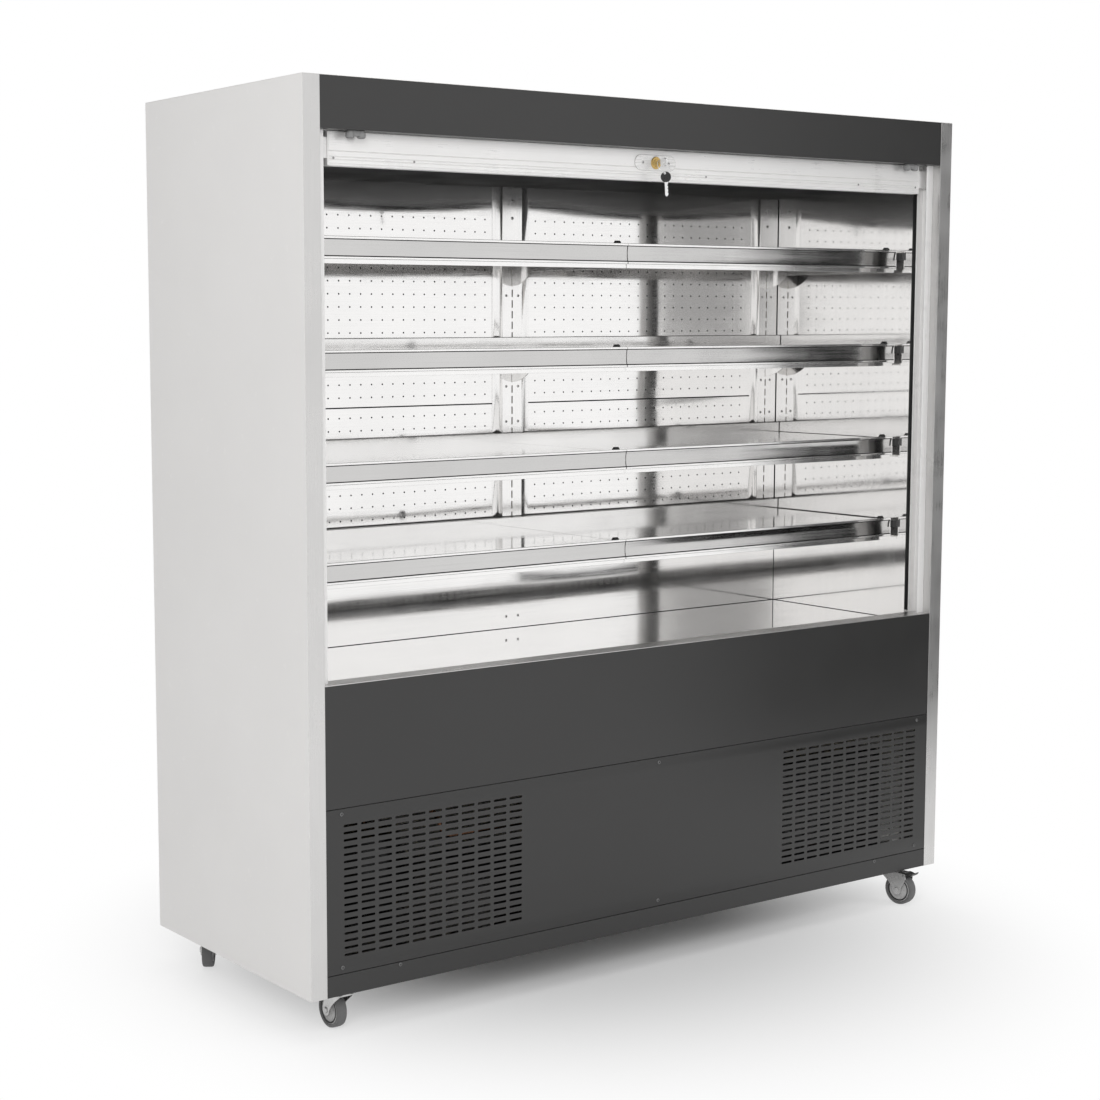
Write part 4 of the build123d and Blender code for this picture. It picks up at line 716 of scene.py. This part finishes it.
# its bottom and top walls are open where the bolt runs through
BORE = [(-4.6, 39.1), (4.6, 39.1), (4.6, 47.9), (-4.6, 47.9)]
count = len(RAIL)
low_rim, high_rim = 2 * count, 2 * count + 4
points = [(x, a, b + lift) for x in (-RAIL_HALF, RAIL_HALF) for a, b in RAIL]
points += [(x, y, z + lift) for z in (RAIL_FOOT, RAIL_TOP) for x, y in BORE]
faces = [tuple(reversed(range(count))), tuple(range(count, 2 * count))]
faces += [(i, i + 1, count + i + 1, count + i) for i in range(count - 1) if i != 1]
around = [(k, (k + 1) % 4) for k in range(4)]
for rim, corners in ((low_rim, (count - 1, 2 * count - 1, count, 0)),
                     (high_rim, (2, count + 2, count + 1, 1))):
    faces += [(corners[k], corners[n], rim + n, rim + k) for k, n in around]
faces += [(low_rim + k, low_rim + n, high_rim + n, high_rim + k) for k, n in around]
rail.add(points, faces)
# Near-black strip along the rail's back face: painted shade
rail.current = 1
rail.prism([(53.8, RAIL_LOW + 0.6), (54.5, RAIL_LOW + 1.6), (54.5, RAIL_HIGH - 1.6),
            (53.8, RAIL_HIGH - 0.6)], -RAIL_HALF, RAIL_HALF)
rail.current = 0
for side in (-1, 1):
    rail.box(between(side, RAIL_HALF, RAIL_HALF + 3), (33.0, 54.2),
             (RAIL_LOW + 0.6, RAIL_HIGH - 0.6))
    # shoe that runs in the guide
    rail.box(between(side, RAIL_HALF + 3, 856.0), (35.5, 40.5), (RAIL_LOW + 14, RAIL_LOW + 54))
rail.piece("shutter_rail_profile", [coated_aluminium, sealant_black_and_painted_shade], "shutter", "shutter_metal",
           ["shutter_rail"], 0.25)
rail_screws = Shape()
for x in (-813.0, -625.0, 147.0, 621.0, 813.0):
    pan_head(rail_screws, (x, 32.7, RAIL_LOW + 14.8), FORWARD, 2.6, 1.1)
for x in (-36.0, 36.0):
    pan_head(rail_screws, (x, 30.0, LOCK_Z), FORWARD, 3.0, 1.2)
rail_screws.piece("rail_screws", [zinc, sealant_black_and_painted_shade], "shutter", "zinc")

# Slats: shaped as they hang when the shutter is down, then drawn up into the space at rest
curtain_low, curtain_high = span("shutter_curtain")
TRAVEL = 1000.0
room = curtain_high.z - curtain_low.z
SLATS = 41


def drawn_up(drop):
    """Depth at rest of a point that hangs this far below the roller with the shutter down."""
    low, high = 0.0, 1.0
    for _ in range(40):
        t = (low + high) / 2
        if t * room + TRAVEL * t * t * (3 - 2 * t) < drop:
            low = t
        else:
            high = t
    return low * room


slat_pitch = (TRAVEL + room) / SLATS
SLAT = [(40.2, 0.02), (40.7, 0.10), (40.75, 0.5), (40.7, 0.90), (40.2, 0.98), (36.8, 0.98),
        (36.3, 0.93), (35.5, 0.86), (35.3, 0.70), (35.25, 0.5), (35.3, 0.30), (35.5, 0.14),
        (36.3, 0.07), (36.8, 0.02)]
slats = Shape()
for number in range(SLATS):
    slats.prism([(a, curtain_high.z - drawn_up((number + 1 - b) * slat_pitch)) for a, b in SLAT],
                -curtain_high.x, curtain_high.x)
mesh = bpy.data.meshes.new("shutter_slats")
mesh.from_pydata([CABINET @ (p * MM) for p in slats.points], [], slats.faces)
mesh.materials.append(coated_aluminium)
curtain = placed("shutter_slats", mesh)
mesh.shade_flat()
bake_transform(curtain)
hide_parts("shutter_curtain")

# Roller: slats wound round it, one flat after another
coil_low, coil_high = span("shutter_roller")
coil_y, coil_z = (coil_low.y + coil_high.y) / 2, (coil_low.z + coil_high.z) / 2
coil_radius = (coil_high.y - coil_low.y) / 2
outline = moved([polar(coil_radius * share, 360 / 13 * k + turn) for k in range(13)
                 for turn, share in ((-12.6, 1.0), (12.6, 1.0), (13.2, 0.955), (14.4, 0.955))],
                coil_y, coil_z)
roll = Shape()
roll.prism(outline, -856.5, 856.5)
roll.lathe(both([(6, 861.8), (5.6, 862.2), (0, 862.2)]), (0, coil_y, coil_z), RIGHT, 24)
roll.piece("wound_slats", coated_aluminium, "shutter_drum", "shutter_metal", ["shutter_roller"])

# Seal strips with three lips
seal_low, seal_high = span("side_seals")
seals = Shape()
for side in (-1, 1):
    lips = [(side * (INNER - inset), y) for inset, y in (
        (0, 56), (3, 56.3), (1.2, 60), (1.2, 65), (3, 68), (1.2, 71), (1.2, 76), (3, 79.7),
        (0, 80))]
    seals.prism(lips, seal_low.z, seal_high.z, "z")
seals.piece("side_seal_strips", black_rubber, slot="seal", replaces=["side_seals"])

# Rubber buffers with two lobes
stops = Shape()
for side in (-1, 1):
    middle = side * (INNER - 88.0)
    stops.box((middle - 15, middle + 15), (8.5, 20.8), (CANOPY - 5.5, CANOPY))
    for lobe in (-13.0, 13.0):
        stops.lathe([(0, -15), (5.5, -15), (8.0, -13.6), (8.7, -11), (8.7, -6), (7.6, -3.5),
                     (6.5, -0.2), (0, -0.2)], (middle + lobe, 13.0, CANOPY), UP, 28)
    stops.box((middle - 14, middle + 14), (8.0, 18.0), (CANOPY - 11, CANOPY - 3))
stops.piece("rubber_stops", stop_rubber, slot="rubber", replaces=["shutter_stops"], bevel=0.8)

# ---------- lock and keys
plate = Shape()
outline = []
for middle, start in ((41.0, -90), (-41.0, 90)):
    outline += moved([polar(16.5, start + 15 * k) for k in range(13)], middle, LOCK_Z)
plate.prism(outline, 30.0, 32.5, "y")
plate.piece("lock_plate_oval", lock_steel, "shutter", "chrome", ["lock_plate"], 0.7)
barrel = Shape()
barrel.lathe([(7.1, 11.0), (7.1, 0.6), (7.7, 0.0), (12.4, 0.0), (13.4, 1.0), (13.4, 11.0)],
             (0, 27.5, LOCK_Z), BACK, 40, closed=True)
barrel.piece("lock_cylinder", brass, "shutter", "brass", ["lock_barrel"])
key = Shape()
key.lathe([(0, 11.0), (6.95, 11.0), (6.95, 0.7), (6.4, 0.2), (0, 0.2)], (0, 27.5, LOCK_Z), BACK)
key.current = 1
key.box((-0.8, 0.8), (5.0, 27.9), (LOCK_Z - 3.9, LOCK_Z + 3.9))
key.lathe(both([(9.0, 0.5), (8.2, 1.2), (4.0, 1.2), (2.4, 0.9)]), (0, 2.0, LOCK_Z), RIGHT, 40,
          closed=True)
key.piece("key_in_lock", [brass, nickel], "key", "chrome", ["lock_key"])
# The spare key leans on its ring, which hangs on the first key
LEAN = radians(28)
RING = 16.0
ring_y, ring_z = 12.1, LOCK_Z + 5.19
normal = Vector((0, -cos(LEAN), sin(LEAN)))
spare = Shape()
spare.current = 1
spare.lathe([(RING + 0.6 * cos(a), 0.6 * sin(a)) for a in [radians(45 * k) for k in range(8)]],
            (0, ring_y - RING * sin(LEAN), ring_z - RING * cos(LEAN)), normal, 48, closed=True)
spare.piece("key_ring", [black_plastic, nickel], "hanging_key", "black_plastic", ["spare_key"],
            smooth=40)
head = Vector((0, ring_y - 2 * RING * sin(LEAN), ring_z - 2 * RING * cos(LEAN) - 8.3))
spare = Shape(CABINET @ Matrix.Translation(head * MM) @ Matrix.Rotation(radians(-24), 4, "Z")
              @ Matrix.Rotation(radians(-4), 4, "Y"))
spare.lathe(both([(11.3, 0.8), (10.4, 1.4), (8.2, 1.4), (7.6, 0.9), (0, 0.9)]), (0, 0, 0), BACK,
            40)
for x, z in ((-3.4, -2.4), (3.4, -2.4), (0, 3.2)):
    spare.lathe(both([(2.4, 1.0), (2.1, 1.3), (0, 1.3)]), (x, 0, z), BACK, 16)
spare.current = 1
spare.lathe(both([(2.4, 1.5), (1.3, 1.5)]), (-2.2, 0, 8.0), BACK, 18, closed=True)
blade = [(-3.6, -10), (-3.6, -38.5), (-0.6, -41.5), (1.4, -39.5)]
for k in range(7):
    cut = 3.5 - 1.4 * (k % 2)
    blade += [(cut, -36.8 + 3.6 * k), (cut, -34.4 + 3.6 * k)]
blade += [(3.6, -10)]
spare.prism(blade, -0.9, 0.9, "y")
spare.piece("spare_key_head", [black_plastic, nickel], "hanging_key", "black_plastic", smooth=40)
bolt_low, bolt_high = span("lock_bolt")
bolt = Shape()
bolt.box(*zip(bolt_low, bolt_high))
bolt.piece("square_bolt", zinc, "bolt", "zinc", ["lock_bolt"], 0.8)


# ---------- casters
def rounded_rectangle(half_x, half_y, radius, x=0, y=0):
    """Outline round a middle, given by the centres of its four corner arcs."""
    ring = []
    for a, b, start in ((half_x, half_y, 0), (-half_x, half_y, 90), (-half_x, -half_y, 180),
                        (half_x, -half_y, 270)):
        ring += moved([polar(radius, start + 22.5 * k) for k in range(5)], x + a, y + b)
    return ring


CORNERS = {
    "front_left": (-HALF + 98, 50.0, 180.0), "front_right": (HALF - 98, 50.0, 8.0),
    "rear_left": (-HALF + 98, DEPTH - 50, 325.0), "rear_right": (HALF - 98, DEPTH - 50, 200.0),
}
UNDER = UNDERSIDE / MM
FORK_TOP = UNDER - 2.8
CROWN = FORK_TOP - 7.5
AXLE_Z = 37.5
TRAIL = 28.0
AXLE = (0, -TRAIL, AXLE_Z)
plates = Shape()
for x, y, angle in CORNERS.values():
    plates.prism(rounded_rectangle(27, 34, 8, x, y), -2.5, 0.0, "z")
    for cx in (-26, 26):
        for cy in (-33, 33):
            plates.lathe([(0, -0.9), (4.6, -0.9), (5.0, -0.5), (5.0, 0)], (x + cx, y + cy, -2.5),
                         UP, 6)
    pin_end = CROWN - 2.8 - UNDER
    plates.lathe([(0, pin_end), (5.4, pin_end), (5.95, pin_end + 0.6), (5.95, -2.4)], (x, y, 0),
                 UP, 28)
plates.piece("caster_top_plates", zinc, slot="zinc", replaces=["caster_plates"], bevel=0.4)


def caster(corner_name, x, y, angle, pedal):
    home = Matrix.Translation((x * MM, FRONT + y * MM, 0)) @ Matrix.Rotation(radians(angle), 4, "Z")
    fork = Shape(home)
    # ball race: two rings with a dark gap between them
    fork.lathe([(6.1, CROWN), (26.6, CROWN), (27, CROWN + 0.5), (27, CROWN + 2.6),
                (25.8, CROWN + 3.3), (24.6, CROWN + 3.4), (24.6, CROWN + 4.2), (26, CROWN + 4.4),
                (26.4, CROWN + 5.0), (26.4, FORK_TOP - 0.4), (26, FORK_TOP), (6.1, FORK_TOP)],
               (0, 0, 0), UP, 44, closed=True)
    nose = -52.0 if pedal else -31.0
    for side in (-1, 1):
        cheek = [(25.0, CROWN), (22.0, CROWN), (nose + 2, CROWN), (nose, CROWN - 1.5),
                 (nose, CROWN - 12)]
        reach = -TRAIL - 12
        for k in range(1, 6):
            t = k / 6
            cheek.append((nose + (reach - nose) * t * t * (3 - 2 * t),
                          CROWN - 12 - (CROWN - 12 - AXLE_Z) * t))
        cheek += moved([polar(12, 180 + 15 * k) for k in range(13)], -TRAIL, AXLE_Z)
        for k in range(1, 8):
            t = k / 8
            cheek.append((-16 + 41 * t, AXLE_Z + (CROWN - 3 - AXLE_Z) * t ** 0.72))
        cheek.append((25.0, CROWN - 2))
        fork.prism(cheek, side * 14.5, side * 17.0)
        fork.rod(7.4, side * 17.0, side * 17.5, AXLE, RIGHT, 24)
        fork.lathe([(0, side * 17.5), (6.4, side * 17.5), (6.4, side * 18.9), (5.6, side * 19.5),
                    (0, side * 19.5)], AXLE, RIGHT, 6)
    fork.prism(rounded_rectangle(13, 21, 4), CROWN - 2.5, CROWN, "z")
    fork.rod(3.96, -17, 17, AXLE, RIGHT, 20)
    if pedal:
        fork.rod(2.96, -17, 17, (0, -46, UNDER - 14), RIGHT, 20)
    fork.piece(f"fork_{corner_name}", zinc, f"swivel_{corner_name}", "zinc",
               [f"caster_fork_{corner_name}"], 0.5)

    wheel = Shape(home)
    tyre = [(37.5, 3.5), (37.4, 7.5), (36.6, 10.6), (34.6, 11.9), (31.4, 11.2), (30.2, 9.6)]
    wheel.lathe(both(tyre) + [(29.8, 0)], AXLE, RIGHT, 64, closed=True)
    wheel.current = 1
    wheel.lathe(both([(30.2, 9.2), (28.8, 10.2), (24.6, 9.8), (22.5, 7.6), (13.5, 7.6),
                      (10.2, 9.2), (9.6, 11.2), (8.6, 11.9), (4.1, 11.9)]),
                AXLE, RIGHT, 48, closed=True)
    for side in (-1, 1):
        wheel.current = 2
        wheel.lathe([(24.9, side * 9.9), (28.4, side * 10.3), (28.6, side * 10.6),
                     (25.1, side * 10.4)], AXLE, RIGHT, 48, closed=True)
        wheel.current = 1
        for k in range(6):
            a, b = polar(1, 60 * k)
            direction, across = Vector((0, a, b)), Vector((0, -b, a))
            wheel.add([Vector(AXLE) + direction * r + across * w + Vector((side * h, 0, 0))
                       for h in (7.2, 8.8)
                       for r, w in ((12, -1.6), (24, -1.1), (24, 1.1), (12, 1.6))],
                      [(0, 1, 2, 3), (7, 6, 5, 4), (0, 4, 5, 1), (1, 5, 6, 2), (2, 6, 7, 3),
                       (3, 7, 4, 0)])
    wheel.piece(f"wheel_{corner_name}", [grey_rubber, hub_plastic, black_rubber],
                f"wheel_{corner_name}", "rubber", [f"caster_wheel_{corner_name}"])
    if pedal:
        claw = [(-40.4, 78.9), (-43.0, 81.4), (-46.0, 82.2), (-50.0, 81.7), (-54.0, 81.0),
                (-58.0, 79.6), (-62.0, 79.4), (-66.0, 81.4), (-69.2, 84.0), (-70.0, 83.4),
                (-68.6, 79.6), (-64.6, 76.2), (-60.0, 73.8), (-56.6, 72.4), (-54.0, 71.2),
                (-50.0, 71.4), (-46.0, 72.3), (-42.0, 74.8)]
        brake = Shape(home)
        brake.prism(claw, -14.1, 14.1)
        brake.piece("brake_claw", black_plastic, "pedal", "black_plastic", ["brake_pedal"], 0.9)


for corner_name, (x, y, angle) in CORNERS.items():
    caster(corner_name, x, y, angle, corner_name == "front_right")

# ---------- cooling unit
PAN = 41.2                                      # upper face of the base pan
base = Shape()
base.box((-652, -468), (238, 422), (PAN, PAN + 4))
for x in (-640, -480):
    for y in (250, 410):
        base.lathe([(0, 4), (11, 4), (12, 6), (11, 14), (6, 16), (6, 19), (0, 19)], (x, y, PAN),
                   UP, 20)
SHELL = [(0, 16), (58, 18), (74, 26), (82, 44), (84, 100), (85, 104), (90, 105), (90, 111),
         (85, 112), (84, 118), (83, 160), (76, 184), (58, 200), (30, 208), (0, 210)]
base.lathe([(radius, PAN + z) for radius, z in SHELL], (-560, 330, 0), UP, 56)
base.box((-540, -486), (244, 262), (PAN + 60, PAN + 110))
base.piece("compressor_shell", gloss_black, slot="black_paint", replaces=["compressor"], bevel=1.2)


def fin_block(shape, x, y, z, pitch, sheet, plate):
    """End plates with thin fins packed between them."""
    shape.box((x[0], x[0] + plate), y, z)
    shape.box((x[1] - plate, x[1]), y, z)
    count = int((x[1] - x[0] - 2 * plate) / pitch)
    for k in range(count):
        middle = x[0] + plate + (x[1] - x[0] - 2 * plate) * (k + 0.5) / count
        shape.box((middle - sheet / 2, middle + sheet / 2), (y[0] + 1, y[1] - 1),
                  (z[0] + 1, z[1] - 1))


block = Shape()
fin_block(block, (430, 770), (60, 115), (PAN, PAN + 250), 3.6, 0.35, 2.0)
block.current = 1
for row, y in enumerate((74, 101)):
    for k in range(9):
        block.rod(4.5, 431, 769, (0, y, PAN + 18 + 26 * k + 8 * row), RIGHT, 12)
block.piece("condenser_fins", [fin_aluminium, copper], slot="fin_aluminium", replaces=["condenser"])
block = Shape()
fin_block(block, (-650, 650), (240, 420), (491.2, 583.2), 6.5, 0.5, 2.5)
block.current = 1
for y in (262, 298, 334, 370, 402):
    for z in (510, 537, 564):
        block.rod(5, -648, 648, (0, y, z), RIGHT, 12)
block.piece("evaporator_fins", [fin_aluminium, copper], slot="fin_aluminium",
            replaces=["evaporator"])


def rotor(name, node, body, centre, radius, hub, length):
    """Moulded hub with five swept blades of curved section."""
    fan = Shape()
    fan.lathe([(3.2, 0), (hub - 1.5, 0), (hub, 1.5), (hub, length - 1), (hub - 1, length),
               (3.2, length)], centre, BACK, 36, closed=True)
    for blade in range(5):
        def swept(u, v, t, start=2 * pi * blade / 5):
            r = hub - 1 + (radius - 0.6 - hub + 1) * u
            spread = (0.44 + 0.22 * sin(pi * min(1, u * 1.1) * 0.8)) * (1 - 0.25 * u ** 6)
            turn = start + spread * (v - 0.5) + 0.14 * u
            along = length * (0.16 + 0.68 * v) + 1.4 * sin(pi * v) + SHEET - t
            return (centre[0] + r * cos(turn), centre[1] + min(along, length - 0.2),
                    centre[2] + r * sin(turn))

        fan.sheet([i / 7 for i in range(8)], [j / 6 for j in range(7)], swept, SHEET)
    fan.piece(name, black_plastic, body, "black_plastic", [node])


rotor("condenser_rotor", "condenser_fan", "fan_rear", (600, 148, PAN + 125), 105, 26, 24)
for side, x in (("left", -360), ("right", 360)):
    rotor(f"evaporator_rotor_{side}", f"evaporator_fan_{side}", f"fan_{side}", (x, 162, 546), 44,
          15, 16)

control = Shape()
control.box((50, 210), (285, 375), (PAN, PAN + 168))
control.box((51.5, 208.5), (286.5, 373.5), (PAN + 168, PAN + 170))
control.box((50, 210), (285, 375), (PAN + 170, PAN + 180))
for x in (62, 198):
    for z in (PAN + 20, PAN + 150):
        control.lathe([(0, 0), (4, 0), (4, 1.0), (0, 1.2)], (x, 285, z), (0, -0.5, 0), 16)
control.piece("control_box", grey_plastic, slot="grey_box", replaces=["electrical_box"], bevel=1.5)


def rounded(path, radius, steps=7):
    """Polyline with its corners turned through arcs."""
    path = [Vector(p) for p in path]
    result = [path[0]]
    for before, corner, after in zip(path, path[1:], path[2:]):
        one, two = (before - corner).normalized(), (after - corner).normalized()
        centre = corner + (one + two) * radius
        for k in range(steps + 1):
            turn = pi / 2 * k / steps
            result.append(centre - two * radius * cos(turn) - one * radius * sin(turn))
    return result + [path[-1]]


def tube(shape, line, radius, sides=14):
    rings, up = [], None
    for k, point in enumerate(line):
        ahead = (line[min(k + 1, len(line) - 1)] - line[max(k - 1, 0)]).normalized()
        if up is None:
            up = ahead.orthogonal().normalized()
        else:
            up = (up - ahead * up.dot(ahead)).normalized()
        side = ahead.cross(up)
        rings.append([point + (up * cos(t) + side * sin(t)) * radius
                      for t in [2 * pi * s / sides for s in range(sides)]])
    points = [p for ring in rings for p in ring]
    faces = [tuple(reversed(range(sides))), tuple(range(len(points) - sides, len(points)))]
    for k in range(len(rings) - 1):
        for s in range(sides):
            n = (s + 1) % sides
            faces.append((k * sides + s, k * sides + n, (k + 1) * sides + n,
                          (k + 1) * sides + s))
    shape.add(points, faces)


pipes = Shape()
head = PAN + 210
tube(pipes, rounded([(-529.3, 330, head), (-529.3, 330, head + 60), (-529.3, 87.5, head + 60),
                     (-529.3, 87.5, PAN + 220), (430, 87.5, PAN + 220)], 30), 4.6)
tube(pipes, rounded([(-560, 330, head), (-560, 330, head + 60), (-560, 450, head + 60),
                     (-560, 450, 537.2)], 29.9), 4.6)
for x in (-529.3, -560):
    pipes.lathe(both([(5.0, 3), (4.4, 4)]), (x, 330, head + 6), UP, 14, closed=True)
pipes.piece("copper_tubes", copper, slot="copper", replaces=["copper_lines"])


# ---------- floor, backdrop and light
def seen_directly(tree):
    """1 for rays from the camera, a mirror or glass, 0 for light that falls on the object."""
    path = add_node(tree, "LightPath", {})
    result = path.outputs["Is Camera Ray"]
    for name in ("Is Glossy Ray", "Is Transmission Ray"):
        result = add_node(tree, "Math", {0: result, 1: path.outputs[name]},
                          operation="MAXIMUM").outputs["Value"]
    return result


world = bpy.data.worlds.new("studio")
bpy.context.scene.world = world
world.use_nodes = True
tree = world.node_tree
level = add_node(tree, "MapRange", {"Value": seen_directly(tree), "To Min": 0.45, "To Max": 1.0})
fill(tree, tree.nodes["Background"], {"Color": (1, 1, 1, 1), "Strength": level.outputs["Result"]})

# The floor fades to white away from the object
ground_material = bpy.data.materials.new("pale_floor")
ground_material.use_nodes = True
tree = ground_material.node_tree
diffuse = fill(tree, tree.nodes["Principled BSDF"], {
    "Base Color": (0.92, 0.92, 0.92, 1), "Roughness": 0.9, "Specular IOR Level": 0.0})
glow = add_node(tree, "Emission", {"Strength": 1.0})
place = add_node(tree, "TexCoord", {}).outputs["Object"]
distance = add_node(tree, "VectorMath", {0: place}, operation="LENGTH")
fade = add_node(tree, "MapRange", {"Value": distance.outputs["Value"], "From Min": 0.3,
                                   "From Max": 1.3}, interpolation_type="SMOOTHSTEP")
factor = add_node(tree, "Math", {0: fade.outputs["Result"], 1: seen_directly(tree)},
                  operation="MULTIPLY")
blend = add_node(tree, "MixShader", {0: factor.outputs["Value"], 1: diffuse.outputs["BSDF"],
                                     2: glow.outputs["Emission"]})
fill(tree, tree.nodes["Material Output"], {"Surface": blend.outputs["Shader"]})
mesh = bpy.data.meshes.new("floor")
mesh.from_pydata([(*polar(14, 5 * k), 0) for k in range(72)], [], [tuple(range(72))])
mesh.materials.append(ground_material)
ground = placed("floor", mesh)


def aimed(obj, target):
    turn = (obj.location - Vector(target)).to_track_quat("Z", "Y")
    obj.rotation_euler = turn.to_euler()


def card(name, centre, target, width, height, value):
    """Board seen only in polished surfaces."""
    shade = bpy.data.materials.new(name)
    shade.use_nodes = True
    tree = shade.node_tree
    tree.nodes.remove(tree.nodes["Principled BSDF"])
    emit = add_node(tree, "Emission", {"Color": grey(value)})
    fill(tree, tree.nodes["Material Output"], {"Surface": emit.outputs["Emission"]})
    mesh = bpy.data.meshes.new(name)
    w, h = width / 2, height / 2
    mesh.from_pydata([(-w, -h, 0), (w, -h, 0), (w, h, 0), (-w, h, 0)], [], [(0, 1, 2, 3)])
    mesh.materials.append(shade)
    board = placed(name, mesh)
    board.location = centre
    aimed(board, target)
    board.visible_camera = False
    board.visible_diffuse = False
    board.visible_shadow = False
    board.visible_transmission = False


card("right_card", (6.0, -3.8, 2.2), (6.0, 0, 2.2), 4.0, 4.8, 30)
card("left_card", (-2.77, -3.9, 2.15), (-2.77, 0, 2.15), 0.8, 1.8, 165)
card("low_card", (3.1, -1.6, 0.3), (3.1, 0, 0.3), 3.4, 0.5, 20)


def lamp(name, place, target, size, watts):
    data = bpy.data.lights.new(name, "AREA")
    data.shape = "RECTANGLE"
    data.size, data.size_y = size
    data.energy = watts
    light = placed(name, data)
    light.location = place
    aimed(light, target)
    light.visible_camera = False
    light.visible_glossy = False


lamp("left_softbox", (-3.4, -3.4, 2.8), (0, 0, 1.0), (2.6, 2.4), 110)
lamp("right_softbox", (3.2, -3.6, 2.4), (0, 0, 1.0), (1.6, 2.2), 36)
lamp("overhead", (0, -0.4, 4.0), (0, 0, 0), (3.0, 3.0), 24)
lamp("rear_fill", (0.8, 4.2, 2.4), (0, 0, 1.0), (2.6, 2.0), 40)

# ---------- camera
yaw, pitch, roll = radians(34.858), radians(6.351), radians(-0.169)
across = Vector((cos(yaw), -sin(yaw), 0))
ahead = Vector((sin(yaw), cos(yaw), 0))
look = ahead * cos(pitch) + Vector((0, 0, -sin(pitch)))
up = ahead * sin(pitch) + Vector((0, 0, cos(pitch)))
right = across * cos(roll) + up * sin(roll)
up = up * cos(roll) - across * sin(roll)
FRAME_PIXELS, FOCAL_PIXELS, MIDDLE = 1100, 2047.8, (431.5, 550.8)
lens = bpy.data.cameras.new("camera")
lens.sensor_width = 36
lens.lens = 36 * FOCAL_PIXELS / FRAME_PIXELS
lens.shift_x = 0.5 - MIDDLE[0] / FRAME_PIXELS
lens.shift_y = MIDDLE[1] / FRAME_PIXELS - 0.5
camera = placed("camera", lens)
turned = Matrix((right, up, -look)).transposed().to_4x4()
camera.matrix_world = Matrix.Translation((-2.938, FRONT - 3.344, UNDERSIDE + 1.3298)) @ turned
bpy.context.scene.camera = camera
bpy.context.scene.view_settings.view_transform = "Standard"
